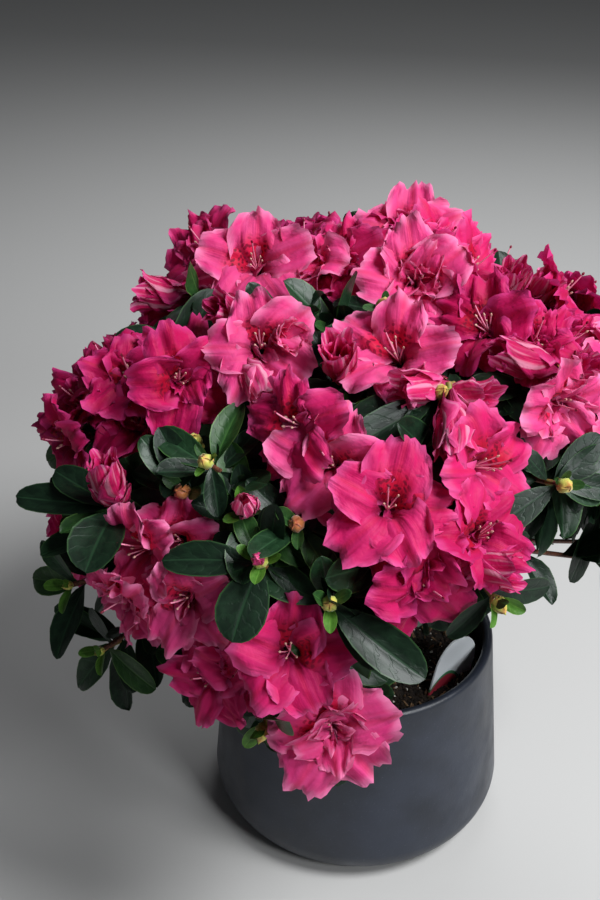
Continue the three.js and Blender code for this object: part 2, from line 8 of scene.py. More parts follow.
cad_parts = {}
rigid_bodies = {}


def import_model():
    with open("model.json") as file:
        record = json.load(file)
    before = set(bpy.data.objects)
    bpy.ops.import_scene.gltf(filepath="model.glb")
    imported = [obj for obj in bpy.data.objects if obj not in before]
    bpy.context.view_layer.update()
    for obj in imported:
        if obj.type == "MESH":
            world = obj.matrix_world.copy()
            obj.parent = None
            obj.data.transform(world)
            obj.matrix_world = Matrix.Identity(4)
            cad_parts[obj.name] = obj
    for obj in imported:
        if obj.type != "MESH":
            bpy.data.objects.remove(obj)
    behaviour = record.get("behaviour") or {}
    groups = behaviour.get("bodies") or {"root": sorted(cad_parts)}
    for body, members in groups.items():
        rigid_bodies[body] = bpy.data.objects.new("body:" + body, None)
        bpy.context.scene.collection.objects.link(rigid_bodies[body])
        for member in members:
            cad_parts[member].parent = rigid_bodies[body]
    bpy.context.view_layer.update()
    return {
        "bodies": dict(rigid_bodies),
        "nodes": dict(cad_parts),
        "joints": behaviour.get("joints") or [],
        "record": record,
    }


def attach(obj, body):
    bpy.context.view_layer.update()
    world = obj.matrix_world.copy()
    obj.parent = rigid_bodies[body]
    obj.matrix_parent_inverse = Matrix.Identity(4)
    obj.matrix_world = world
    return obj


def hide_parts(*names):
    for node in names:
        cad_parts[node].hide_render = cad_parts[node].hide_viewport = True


# A florist's azalea in a dark ceramic pot: a short stem, boughs, and a domed crown of twigs with
# semi-double blooms, glossy leaves and buds. Sizes are in millimetres until a mesh is made.
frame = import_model()
MM = 0.001

# The same named sizes as the solids.
RIM_RADIUS = 85
BELLY_RADIUS = 95
POT_HEIGHT = 130
POT_WALL = 6
POT_FLOOR = 9
FOOT_CORNER = 22
SHOULDER_HEIGHT = 80
SHOULDER_RADIUS = 89.5
COMPOST_LEVEL = POT_HEIGHT - 24
LABEL = {
    "width": 38, "length": 68, "thick": 1.0, "across": 48, "forward": -35, "lean": 0, "tilt": -17, "turn": 42,
}
CROWN_CENTRE = np.array([-5.0, 5.0, 245.0])
CROWN_REACH = np.array([198.0, 185.0, 150.0])
HEART_SHARE = 0.36
BLOOM_DEPTH = 25
LEAF_LENGTH = 47
LEAF_WIDTH = 20
TWIG_BOW = 0.4
FIRST_TWIG = 0.25
SPRAY_STEM = {"foot": 2.9, "tip": 2.0, "reach": 0.62}
BOUGH = {"main_foot": 5.0, "side_foot": 3.8, "tip": 2.9, "leave": 0.72}
STEM = {"foot": 14.0, "waist": 8.5, "top": 9.5, "height": 52.0, "lean": 5.0, "sunk": 6.0}
RING_KINDS = ["ruffled", "open", "leafy", "open", "ruffled", "furled"]
RING_SPREAD = 24
COMPANIONS_APART = 33
LOWEST_COMPANION = 165
GOLDEN_ANGLE = 137.5
DEPTHS = {"open": BLOOM_DEPTH, "ruffled": BLOOM_DEPTH, "furled": 23.8, "buds": 15.4, "leafy": 4}
LEAF_LIFTS = {"open": 5, "ruffled": 5, "furled": 12, "buds": 14, "leafy": 14}

# Each mass of the crown: where its bough comes from, and its shoots. A shoot's numbers say where its
# face lies on the crown, in degrees round from the front and degrees up, then what it bears, and
# where that looks. Sides and back are rings of shoots: azimuth, elevation, share of reach, count.
MASSES = {
    "top": {
        "from": "stem",
        "shoots": [
            (-30, 80, "ruffled", -35, 45, 0.96),
            (125, 80, "ruffled", 0, 50, 0.95),
            (98, 75, "ruffled", 50, 45, 0.95),
            (22, 71, "ruffled", 0, 32),
            (60, 69, "open", 70, 30),
            (5, 66, "leafy", 0, 50),
        ],
    },
    "upper_left": {
        "from": "top",
        "shoots": [
            (-61, 71, "open", -5, 42),
            (-98, 63, "ruffled", -60, 40),
            (-28, 56, "open", 0, 36),
            (-46, 60, "furled", -60, 40),
            (-68, 51, "leafy", -80, 35),
            (-76, 55, "furled", -90, 10),
        ],
    },
    "centre": {
        "from": "top",
        "shoots": [
            (5, 57, "open", -25, 45),
            (21, 47, "furled", 55, 20),
            (14, 41, "furled", 5, -45),
            (-8, 56, "furled", -15, 60),
            (14, 49, "leafy", 10, 45),
        ],
    },
    "upper_right": {
        "from": "stem",
        "shoots": [
            (32, 60, "open", -45, 45),
            (62, 65, "furled", 10, 70),
            (70, 60, "furled", 60, 65),
            (76, 55, "open", 80, 35),
            (34, 53, "furled", -35, 40),
            (46, 54, "ruffled", 20, 50),
            (50, 46, "furled", 50, 45),
        ],
    },
    "right": {
        "from": "upper_right",
        "shoots": [
            (38, 41, "ruffled", 25, 5),
            (31, 30, "leafy", 20, 25),
            (53, 33, "open", 55, 25),
            (60, 20, "leafy", 70, 10),
            (70, 40, "ruffled", 75, 40),
        ],
    },
    "front": {
        "from": "stem",
        "shoots": [
            (-8, 37, "open", -20, 30),
            (2, 31, "open", 5, 33),
            (-16, 43, "open", -40, 25),
            (20, 35, "open", 45, 15),
        ],
    },
    "front_right": {
        "from": "front",
        "shoots": [
            (8, 16, "open", 25, 0),
            (5, 23, "ruffled", -15, 30),
            (17, 25, "open", 40, 35),
            (18, 19, "furled", 70, 10),
            (17, 13, "leafy", 30, -20),
        ],
    },
    "front_left": {
        "from": "front",
        "shoots": [
            (-28, 35, "leafy", -20, 45),
            (-20, 30, "buds", -5, 50),
            (-16, 21, "leafy", -10, 45),
            (-6, 15, "leafy", 0, 40),
        ],
    },
    "left": {
        "from": "stem",
        "shoots": [
            (-65, 33, "ruffled", -65, 40),
            (-55, 43, "open", -25, 55),
            (-40, 46, "open", 15, 25),
            (-60, 25, "open", -45, 5),
            (-44, 27, "buds", -20, 50),
        ],
    },
    "lower_left": {
        "from": "left",
        "shoots": [
            (-36, 16, "open", -45, 10),
            (-38, 4, "ruffled", -45, -15),
            (-27, 9, "open", -15, 10),
            (-50, 1, "leafy", -45, 15),
            (-46, -14, "leafy", -40, 5),
        ],
    },
    "lower_front": {
        "from": "front",
        "shoots": [
            (-24, -7, "open", -30, 15),
            (-5, -17, "ruffled", 5, 22),
            (-11, 4, "open", 0, 30),
            (-16, -19, "leafy", -20, -35),
        ],
    },
    "far_right": {"from": "upper_right", "ring": (98, 20, 0.95, 5)},
    "back_right": {"from": "back", "ring": (137, 20, 0.93, 5)},
    "back": {"from": "stem", "ring": (178, 24, 0.97, 5)},
    "back_left": {"from": "back", "ring": (-141, 20, 0.88, 5)},
    "far_left": {"from": "left", "ring": (-98, 14, 0.84, 5)},
    "crest": {"from": "top", "ring": (175, 58, 0.92, 4)},
}

# Shoots too fine for the solids: they part from the twigs of their mass.
FINER_SHOOTS = {
    "top": [
        (-12, 66, "leafy", -5, 45, 0.86),
        (60, 80, "ruffled", 20, 60, 0.95),
        (150, 74, "open", 150, 60, 0.96),
    ],
    "upper_left": [
        (-22, 59, "furled", 20, 30, 0.97),
        (-25, 49, "furled", 25, -25, 0.93),
        (-82, 68, "open", -50, 60, 0.97),
        (-52, 78, "open", -60, 60, 0.95),
    ],
    "centre": [
        (8, 50, "furled", -60, 10, 1.0),
    ],
    "upper_right": [
        (62, 50, "ruffled", 45, 45, 0.97),
        (112, 60, "leafy", 100, 60, 0.88),
        (124, 53, "ruffled", 115, 55, 0.9),
        (104, 50, "leafy", 100, 45, 0.88),
    ],
    "right": [
        (62, 41, "open", 50, 40, 0.97),
        (43, 34, "leafy", 40, 30, 0.95),
    ],
    "front": [
        (8, 41, "leafy", 20, 40, 0.9),
    ],
    "front_right": [
        (84, -20, "leafy", 80, 5, 0.86),
        (62, -8, "leafy", 60, 10, 0.84),
    ],
    "front_left": [
        (-33, 28, "leafy", -30, 35, 0.93),
        (-12, 27, "leafy", -10, 40, 0.95),
        (-22, 10, "leafy", -20, 15, 0.92),
        (-3, 6, "leafy", 10, 10, 0.9),
    ],
    "left": [
        (-62, 42, "ruffled", -60, 55, 0.97),
        (-47, 50, "ruffled", -20, 60, 0.96),
        (-70, 40, "open", -75, 45, 0.97),
        (-50, 36, "ruffled", -20, 40, 0.93),
        (-36, 37, "leafy", -30, 45, 0.9),
    ],
    "lower_left": [
        (-32, 17, "open", -20, 15, 0.93),
    ],
    "lower_front": [
        (-19, -4, "ruffled", -10, 5, 0.97),
        (-9, -22, "leafy", -5, -30, 0.9),
    ],
}

# What single shoots have of their own, by mass and place in its list, finer shoots last. size, leaf and
# bud scale the bloom, the leaves and the leaf bud; flare and slack are how far petals open, in degrees;
# calm petals are smoother, a double bloom has a third ring; look, push and bow turn the shoot, move it out
# by millimetres and bend its twig. Leaves stand at a lift, between the turns of sweep, are few or, on a
# bare shoot, none, and key lists single ones by turn, lift, length and width. beside adds buds of that
# size, and blush a pink tip in the leaf bud.
# The pink tint, the palest, is set here on the blooms that the main light falls on most. On these it is painted light,
# on top of the lamps; dealt at random elsewhere, it is a real paler tone.
NOTES = {
    ("top", 0): {"double": True, "sweep": (130, 410)},
    ("top", 1): {"size": 0.95, "tint": "pink", "double": True, "flare": 76},
    ("top", 2): {"size": 0.9, "double": True},
    ("top", 3): {"size": 0.98, "tint": "pink", "flare": 84, "double": True},
    ("top", 4): {"size": 0.86, "tint": "rose"},
    ("top", 5): {"leaf": 0.7, "lift": -8},
    ("upper_left", 0): {"size": 0.95, "tint": "pink", "flare": 82, "calm": True},
    ("upper_left", 1): {"size": 0.9, "tint": "rose"},
    ("upper_left", 2): {"size": 0.92, "tint": "pink", "flare": 88, "calm": True},
    ("upper_left", 4): {"bare": True, "bud": 0.3, "few": True, "push": -12,
                        "key": [(270, 50, 28, 15), (310, 30, 24, 14)]},
    ("centre", 0): {"size": 0.92, "tint": "pink"},
    ("centre", 1): {"bare": True, "size": 0.95},
    ("centre", 2): {"bare": True, "size": 0.95, "bow": 0.06},
    ("centre", 4): {"leaf": 0.95, "lift": -4, "sweep": (165, 345), "few": True,
                    "key": [(205, 0, 52, 17), (228, -8, 50, 16)]},
    ("centre", 5): {"bare": True, "size": 0.85},
    ("upper_right", 8): {"leaf": 0.75, "lift": -8, "sweep": (150, 390)},
    ("upper_right", 10): {"leaf": 0.75, "lift": -6, "sweep": (150, 390)},
    ("right", 1): {"leaf": 0.72, "sweep": (-50, 190), "key": [(205, -5, 40, 15)]},
    ("upper_right", 4): {"look": (-80, 25), "size": 1.15, "slack": -7, "bare": True},
    ("front", 0): {"size": 0.92, "tint": "pink", "push": -3},
    ("front", 1): {"size": 0.94, "tint": "rose", "flare": 90, "calm": True, "look": (0, 42), "push": 7},
    ("front_left", 0): {"leaf": 0.78, "lift": 6},
    ("front_left", 1): {"leaf": 0.85},
    ("front_left", 2): {"leaf": 0.9, "lift": 6, "bud": 1.35, "blush": True,
                        "key": [(258, 4, 38, 24), (185, 0, 46, 17)]},
    ("front_left", 3): {"leaf": 0.95, "lift": 2, "key": [(322, 0, 54, 21)]},
    ("front_right", 0): {"size": 0.95},
    ("front_right", 4): {"leaf": 0.85, "few": True, "sweep": (-30, 225), "key": [(238, 0, 30, 10)]},
    ("front_right", 5): {"leaf": 0.55, "few": True, "bud": 0.6, "bow": 0.1},
    ("front_right", 6): {"leaf": 0.5, "few": True, "bud": 0.6, "bow": 0.1},
    ("left", 4): {"kind": "furled", "look": (-35, 76), "size": 0.92, "slack": -3, "beside": 1.15,
                  "leaf": 0.95, "tint": "cerise",
                  "key": [(198, -2, 56, 18), (292, 2, 44, 26), (180, 10, 40, 17)]},
    ("lower_left", 3): {"leaf": 0.85, "few": True, "bud": 0.6},
    ("lower_left", 4): {"leaf": 0.85, "few": True, "bud": 0.6},
    ("lower_front", 1): {"size": 1.05, "tint": "pink"},
    ("lower_front", 2): {"size": 0.95, "tint": "rose"},
}


def dice(seed):
    """A small seeded generator of numbers from 0 to 1, the same as the solids'."""
    state = seed % 2**32

    def roll():
        nonlocal state
        state = (state * 1664525 + 1013904223) % 2**32
        return state / 2**32

    return roll


def between(roll, low, high):
    return low + (high - low) * roll()


def heading(azimuth, elevation):
    """The direction that lies this far round from the front and this far up."""
    around, up = math.radians(azimuth), math.radians(elevation)
    return np.array([math.sin(around) * math.cos(up), -math.cos(around) * math.cos(up), math.sin(up)])


def crown_point(azimuth, elevation, share=1.0):
    return heading(azimuth, elevation) * CROWN_REACH * share + CROWN_CENTRE


def unit(vector):
    return vector / max(np.linalg.norm(vector), 1e-9)


def ring_shoots(azimuth, elevation, share, count):
    shoots = []
    for i in range(count):
        away = RING_SPREAD * math.sqrt((i + 0.4) / count)
        turn = math.radians(i * GOLDEN_ANGLE)
        up = elevation + away * math.sin(turn)
        around = azimuth + away * math.cos(turn) / math.cos(math.radians(up))
        shoots.append((around, up, RING_KINDS[i % len(RING_KINDS)], around, 0.8 * up, share))
    return shoots


def shoot_at(mass, azimuth, elevation, kind, around, up, share=1.0):
    look = heading(around, up)
    foot = crown_point(azimuth, elevation, share) - look * DEPTHS[kind]
    return {"mass": mass, "kind": kind, "look": look, "foot": foot}


class Bend:
    """A curve through three handles, read by its share of length."""

    def __init__(self, start, handle, end):
        t = np.linspace(0, 1, 65)[:, None]
        self.line = (1 - t) ** 2 * start + 2 * t * (1 - t) * handle + t * t * end
        self.measure()

    def measure(self):
        steps = np.linalg.norm(np.diff(self.line, axis=0), axis=1)
        self.shares = np.concatenate([[0], np.cumsum(steps)]) / steps.sum()
        self.length = steps.sum()

    def at(self, share):
        return np.array([np.interp(share, self.shares, self.line[:, k]) for k in range(3)]).T

    def along(self, share):
        return unit(self.at(min(share + 0.01, 1)) - self.at(max(share - 0.01, 0)))


def stem_line():
    foot = COMPOST_LEVEL - STEM["sunk"]
    lean = STEM["lean"]
    shares = [0, 0.3, 0.65, 1]
    across = np.array([0, -0.2, -0.6, -1]) * lean
    back = np.array([0, 0.2, 0.7, 1]) * lean
    t = np.linspace(0, 1, 65)
    smooth = np.array([np.polyval(np.polyfit(shares, side, 3), t) for side in (across, back)])
    line = Bend(np.zeros(3), np.zeros(3), np.ones(3))
    line.line = np.array([smooth[0], smooth[1], foot + STEM["height"] * t]).T
    line.measure()
    return line


def stem_radius(share):
    flare = STEM["foot"] - STEM["waist"]
    return STEM["waist"] + flare * np.exp(-9 * share) + (STEM["top"] - STEM["waist"]) * share**3


def heart_of(shoots):
    middle = np.mean([shoot["foot"] for shoot in shoots], axis=0)
    return (middle - CROWN_CENTRE) * HEART_SHARE + CROWN_CENTRE


def grow_boughs(hearts):
    """Main boughs leave the stem, side boughs leave other boughs."""
    lines = {"stem": stem_line()}
    roll = dice(11)
    for side in (False, True):
        for name, mass in MASSES.items():
            if (mass["from"] != "stem") != side:
                continue
            share = 0.45 + 0.3 * roll() if side else BOUGH["leave"] + 0.2 * roll()
            start, heart = lines[mass["from"]].at(share), hearts[name]
            high = heart[2] if side else heart[2] * 0.72 + start[2] * 0.28
            rise = np.array([start[0], start[1], high])
            lines[name] = Bend(start, rise + (heart - rise) * (0.45 if side else 0.3), heart)
    return lines


def spray_stem(bough, shoots):
    """The stem of a mass goes on from its bough's tip towards the middle of its shoots."""
    along = bough.along(1)
    start = bough.at(1) + along * 0.3
    end = start + (np.mean([shoot["foot"] for shoot in shoots], axis=0) - start) * SPRAY_STEM["reach"]
    return Bend(start, start + along * np.linalg.norm(end - start) * 0.4, end)


def twig_to(start, shoot, bow=TWIG_BOW):
    """A twig bends to come up under its shoot."""
    length = np.linalg.norm(shoot["foot"] - start)
    return Bend(start, shoot["foot"] - shoot["look"] * length * bow, shoot["foot"])


def spray_frame(look):
    """Side, across and look directions of a shoot, as columns."""
    side = unit(np.cross([0, 0, 1], look))
    return np.array([side, np.cross(look, side), look]).T


def upright_frame(look):
    """A bloom's own axes as columns: towards its upper petal, to the side, and out of its face."""
    up = np.array([0, 0.25, 1.0])
    up = unit(up - look * up.dot(look))
    return np.array([up, np.cross(look, up), look]).T


def eased(x):
    x = np.clip(x, 0, 1)
    return x * x * (3 - 2 * x)


# A thin curved sheet of the plant: petal, petaloid, sepal or bract. Angles in degrees, sizes in mm.
# It runs out of the neck at the tube's lean, and flares to the open lean; both are measured from the
# axis of what bears it.
SHEET = {
    "turn": 0, "length": 42, "wide": 17, "neck": 1.9, "tube": 13, "open": 88, "bend": 0.26, "soft": 0.42,
    "curl": 15, "cup": 0, "ruffle": 1.4, "waves": 8, "fold": 0.8, "crumple": 0.7, "slant": 1.2,
    "twist": 0, "frill": 0, "lobe": 0, "lobes": 3, "scallop": 0.03, "shoulder": 0.24, "point": 0.05,
    "tooth": 0.01, "taper": 0.24, "flat": 0.15, "sway": 0,
    "tile": 1, "p1": 0, "p2": 0, "p3": 0,
}


def grow_sheets(rows, across, along):
    """Points, faces and map places of many sheets of one grid, all worked out together."""
    value = {key: np.array([row.get(key, SHEET[key]) for row in rows], float) for key in SHEET}
    line = {key: column[:, None] for key, column in value.items()}
    grid = {key: column[:, None, None] for key, column in value.items()}
    count, steps = len(rows), 48
    t = np.linspace(0, 1, steps + 1)[None]
    flare = eased((t - line["bend"]) / line["soft"])
    lean = np.radians(
        line["tube"]
        + (line["open"] - line["tube"]) * flare
        + line["curl"] * np.clip((t - 0.7) / 0.3, 0, 1) ** 2
    )
    stride = line["length"] / steps
    middle = (lean[:, 1:] + lean[:, :-1]) / 2
    start = np.zeros((count, 1))
    out = line["neck"] + np.concatenate([start, np.cumsum(np.sin(middle) * stride, axis=1)], axis=1)
    rise = np.concatenate([start, np.cumsum(np.cos(middle) * stride, axis=1)], axis=1)

    u = np.linspace(-1, 1, across)[None, None, :]
    v = np.linspace(0, 1, along)[None, :, None]
    end = 1 - grid["shoulder"] * np.abs(u) ** 2.4 - grid["point"] * (1 - np.exp(-((u / 0.2) ** 2)))
    end = end + grid["tooth"] * (np.sin(7 * u + grid["p3"]) + 0.7 * np.sin(17 * u + grid["p1"]))
    reached = np.clip(v * end, 0, 1) * steps
    low = np.minimum(reached.astype(int), steps - 1)
    share = reached - low

    def read(table):
        flat = low.reshape(count, -1)
        first = np.take_along_axis(table, flat, 1).reshape(low.shape)
        return first + (np.take_along_axis(table, flat + 1, 1).reshape(low.shape) - first) * share

    radius, height, tilt = read(out), read(rise), read(lean)
    limb = eased((v - grid["bend"] * 0.75) / 0.34)
    column = np.clip(v * steps, 0, steps).astype(int)[0, :, 0]
    tube_half = out[:, column][:, :, None] * (math.pi / 5) * 1.05
    breadth = (0.5 + 0.5 * eased(v / 0.62)) * (1 - grid["taper"] * np.clip((v - 0.72) / 0.28, 0, 1) ** 2)
    half = tube_half * (1 - limb) + grid["wide"] * breadth * limb
    uneven = np.sin(8 * v + 2.4 * grid["p2"] + np.sign(u) * grid["p1"])
    uneven = uneven + 0.6 * np.sin(19 * v + grid["p3"] * (1 + np.sign(u)))
    half = half * (1 + grid["scallop"] * uneven * limb)

    tipward = (v - 0.58) / 0.42
    margin = np.clip((np.abs(u) ** 4 + np.clip(tipward, 0, 1) ** 4) ** 0.25, 0, 1)
    bearing = np.arctan2(u, np.clip(tipward, -0.7, 1))
    waves = np.sin(grid["waves"] * bearing + grid["p1"])
    waves = waves + 0.5 * np.sin(2.3 * grid["waves"] * bearing + grid["p2"])
    waves = waves + grid["frill"] * np.sin(22 * v + 9 * np.abs(u) + grid["p3"]) * np.sin(13 * u + grid["p1"])
    lift = grid["ruffle"] * margin**3 * limb * waves
    lift = lift + grid["lobe"] * margin**1.6 * limb * np.sin(grid["lobes"] * bearing + grid["p3"])
    lift = lift + grid["cup"] * u**2 * grid["wide"] * 0.5 * limb
    lift = lift - 0.6 * np.exp(-((u / 0.16) ** 2)) * limb * (1 - 0.8 * v)
    lift = lift + grid["fold"] * np.sin(3 * math.pi * u + grid["p3"]) * limb * (1 - margin**4)
    lift = lift + grid["slant"] * u + np.tan(np.radians(grid["twist"])) * u * half * limb
    lift = lift + grid["crumple"] * limb * (
        np.sin(2.1 * math.pi * u + grid["p1"]) * np.sin(1.7 * math.pi * v + grid["p2"])
        + 0.5 * np.sin(4.3 * math.pi * u + grid["p3"]) * np.sin(4.6 * math.pi * v + grid["p1"])
    )

    bow = radius * (1 + grid["flat"] * limb) + 1e-3
    angle = u * half / bow + grid["sway"] * v**2
    towards = radius - bow + bow * np.cos(angle) - lift * np.cos(tilt) * np.cos(angle)
    sideways = bow * np.sin(angle) - lift * np.cos(tilt) * np.sin(angle)
    upwards = height + lift * np.sin(tilt)
    turn = np.radians(grid["turn"])
    local = np.stack(
        [
            towards * np.cos(turn) - sideways * np.sin(turn),
            towards * np.sin(turn) + sideways * np.cos(turn),
            upwards,
        ],
        axis=-1,
    )
    frames = np.array([row["frame"] for row in rows])
    roots = np.array([row["root"] for row in rows])
    points = np.einsum("nij,nabj->nabi", frames, local) + roots[:, None, None, :]
    map_u = np.broadcast_to((grid["tile"] + 0.03 + 0.94 * (u + 1) / 2) / 4, local.shape[:3])
    map_v = np.broadcast_to(0.01 + 0.98 * v, local.shape[:3])
    places = np.stack([map_u, map_v], -1).reshape(-1, 2)
    return points.reshape(-1, 3), grid_faces(count, across, along), places


def grid_faces(count, across, along):
    """Four-cornered faces of many grids that lie one after the other."""
    i, j = np.meshgrid(np.arange(along - 1), np.arange(across - 1), indexing="ij")
    first = (i * across + j).ravel()
    one = np.stack([first, first + across, first + across + 1, first + 1], axis=1)
    return (one[None] + (np.arange(count) * across * along)[:, None, None]).reshape(-1, 4)


# What the sprays bear, gathered by kind and tint before the meshes are made.
TINTS = ["rose", "cerise", "pink"]
PETALS_TO_A_PIECE = 440
petals = {tint: [] for tint in TINTS}
petaloids = {tint: [] for tint in TINTS}
bracts = {"calyx": [], "bud": [], "brown": []}
leaves = {"dark": [], "deep": [], "mid": [], "young": []}
strands = {kind: [] for kind in ("twig", "green", "bud", "brown", "filament", "anther", "stigma")}


def bear_strand(kind, line, girths):
    strands[kind].append((np.asarray(line), np.broadcast_to(girths, len(line))))


def phases(roll):
    return {key: 2 * math.pi * roll() for key in ("p1", "p2", "p3")}


def bear_corolla(rows, frame, root, roll, number, spin, spread, **shape):
    """A ring of petals round a bloom's axis. Each pair of numbers is a range to draw from."""
    for i in range(number):
        row = {"frame": frame, "root": root, **phases(roll)}
        row["turn"] = spin + 360 / number * i + spread * (roll() - 0.5)
        for key, value in shape.items():
            row[key] = between(roll, *value) if isinstance(value, tuple) else value
        rows.append(row)


def bear_throat(frame, root, roll, size, number, reach):
    """Stamens with their anthers, and the longer pistil, which bends up."""
    t = np.linspace(0, 1, 7)[:, None]
    for i in range(number + 1):
        pistil = i == number
        far = (reach + 8 if pistil else between(roll, reach - 8, reach)) * size
        round_ = 2 * math.pi * (i + roll()) / number
        apart = between(roll, 2, 5) * (0.5 if pistil else 1)
        across = np.array([math.cos(round_) * apart + (5 if pistil else 2.5), math.sin(round_) * apart, 0])
        local = np.array([0, 0, 4]) + t * np.array([0, 0, far - 4]) + across * t**1.6
        line = local @ frame.T + root
        bear_strand("filament", line, np.linspace(0.4, 0.28, 7) * (1.3 if pistil else 1))
        tip = unit(line[-1] - line[-2])
        end = np.array([line[-1] - tip * 0.4, line[-1] + tip * 0.5, line[-1] + tip * 1.4])
        tip = np.array([0.45, 0.8, 0.35]) * (1 if pistil else 0.85)
        bear_strand("stigma" if pistil else "anther", end, tip)


def bear_calyx(frame, root, roll, size):
    bear_corolla(
        bracts["calyx"], frame, root - frame[:, 2] * 1.2, roll, 5, 360 * roll(), 14,
        length=(5.5 * size, 7.5 * size), wide=1.7, neck=1.3, tube=35, open=(16, 40), bend=0.2, curl=20,
        ruffle=0, fold=0, crumple=0, slant=0, shoulder=0.7, taper=0.8, tooth=0, scallop=0,
    )


def bear_bloom(shoot, roll, tint, size=1.0):
    """An open bloom; a ruffled one has a second ring and crumpled petaloids in its throat."""
    frame, root = upright_frame(shoot["look"]), shoot["foot"]
    full = shoot["kind"] == "ruffled"
    spin = 36 * (roll() - 0.5)
    wide = between(roll, 0.96, 1.06) * size
    flare = shoot.get("flare", between(roll, 76, 94))
    first = len(petals[tint])
    calm = 0.35 if shoot.get("calm") else 1.0
    bear_corolla(
        petals[tint], frame, root, roll, 5, spin, 12,
        length=(42 * size, 47 * size), wide=(14.2 * wide, 16.8 * wide), open=(flare - 12, flare + 8),
        tube=14, curl=(5, 75 * calm), cup=(-0.3 * calm, 0.12), ruffle=(1.7, 2.6) if full else (1.3, 2.2),
        waves=(6, 10), frill=(0.5, 1), fold=(0.2, 0.8), crumple=(0.8, 2), twist=(-14 * calm, 14 * calm),
        shoulder=(0.12, 0.22), point=(-0.03, 0.04), bend=(0.2, 0.28), soft=(0.34, 0.48), flat=(0.9, 2),
        lobe=(1.6 * calm, 3.4 * calm), lobes=(2.4, 4),
        scallop=(0.03, 0.06), tooth=(0.015, 0.03), taper=(0.05, 0.22),
    )
    petals[tint][first]["tile"] = 0
    petals[tint][first + (1 if roll() < 0.5 else 4)]["tile"] = 0
    if full:
        bear_corolla(
            petals[tint], frame, root, roll, 5, spin + 36, 24,
            length=(32 * size, 38 * size), wide=(11 * wide, 14 * wide), open=(48, 76), tube=10, neck=1.5,
            curl=(5, 70), cup=(-0.25, 0.25), ruffle=(1.2, 2.2), waves=(5, 8), frill=(0.4, 0.9),
            fold=(0.2, 0.9), crumple=(1, 2.4), twist=(-22, 22), slant=0.9, flat=(0.5, 1.6), lobe=(1.5, 3),
            lobes=(2.2, 4),
            scallop=(0.04, 0.08), tooth=(0.02, 0.05),
        )
    if shoot.get("double"):
        bear_corolla(
            petals[tint], frame, root, roll, 5, spin + 10, 40,
            length=(25 * size, 31 * size), wide=(9 * wide, 11 * wide), open=(24, 50), tube=8, neck=1.3,
            curl=(10, 80), cup=(-0.2, 0.3), ruffle=(1.4, 2.4), waves=(5, 8), frill=(0.5, 1), fold=(0.4, 1),
            crumple=(1.2, 2.6), twist=(-26, 26), slant=0.9, flat=(0.4, 1.2), lobe=(1.5, 3), lobes=(2.2, 4),
            scallop=(0.04, 0.08), tooth=(0.02, 0.05),
        )
    bear_corolla(
        petaloids[tint], frame, root, roll, 6 if full else int(3 * roll()), 360 * roll(), 50,
        length=(20 * size, 29 * size), wide=(4.5, 8.5), neck=1.1, tube=5, open=(18, 62), bend=0.3,
        curl=(10, 80), cup=(-0.2, 0.5), ruffle=(1, 2), waves=(4, 7), fold=0.8, crumple=(1, 2.6),
        twist=(-40, 40), slant=0.3, flat=(0.2, 0.8), sway=(-0.4, 0.4), tile=2, shoulder=(0.25, 0.5),
    )
    bear_throat(frame, root, roll, size, 2 if full else 5, 26)
    bear_calyx(frame, root, roll, size)


def bear_furled(shoot, roll, tint, size=1.0):
    """A bloom whose petals are still wound round each other, their tips just parting."""
    frame, root = upright_frame(shoot["look"]), shoot["foot"]
    slack = shoot.get("slack", between(roll, -3, 7))
    bear_corolla(
        petals[tint], frame, root, roll, 5, 360 * roll(), 20,
        length=(33 * size, 37 * size), wide=(10.5, 12.5), neck=1.7, tube=(19, 23),
        open=(slack - 4, slack + 5), bend=0.3, soft=0.3, curl=(5, 50), cup=0, ruffle=(0.5, 1.2), waves=(5, 8), fold=0.5,
        crumple=(0.3, 0.9), slant=1.7, flat=0, tile=3, shoulder=(0.25, 0.4), twist=0, tooth=0.02,
    )
    bear_corolla(
        petals[tint], frame, root, roll, 4, 360 * roll(), 40,
        length=(28 * size, 34 * size), wide=(7, 9), neck=1, tube=(13, 17), open=(-6, 6), bend=0.3, soft=0.3,
        curl=(0, 40), ruffle=(0.6, 1.3), waves=(4, 7), crumple=(0.4, 1), slant=1.5, flat=0, tile=1,
        shoulder=(0.2, 0.4), twist=0,
    )
    bear_calyx(frame, root, roll, size * 1.1)


def bear_buds(shoot, roll, tint, size=1.0):
    """Slim closed buds that stand together: a longer one between shorter ones."""
    number = shoot.get("number", 2)
    for i in range(number):
        away = 0 if i == 0 else between(roll, 22, 36)
        side = 360 * i / max(number - 1, 1) + 40 * roll()
        tilt = Matrix.Rotation(math.radians(side), 3, "Z") @ Matrix.Rotation(math.radians(away), 3, "X")
        frame = upright_frame(shoot["look"]) @ np.array(tilt)
        small = size * (1 if i == 0 else between(roll, 0.6, 0.85))
        bear_corolla(
            petals[tint], frame, shoot["foot"], roll, 5, 360 * roll(), 16,
            length=(20 * small, 23 * small), wide=5.6 * small, neck=1.4, tube=(26, 30), open=(-26, -18),
            bend=0.16, soft=0.6, curl=(0, 14), cup=0, ruffle=0.25, waves=5, fold=0.3, crumple=0.3,
            slant=0.9, flat=0, tile=3, shoulder=0.5, twist=0,
        )
        bear_calyx(frame, shoot["foot"], roll, small)


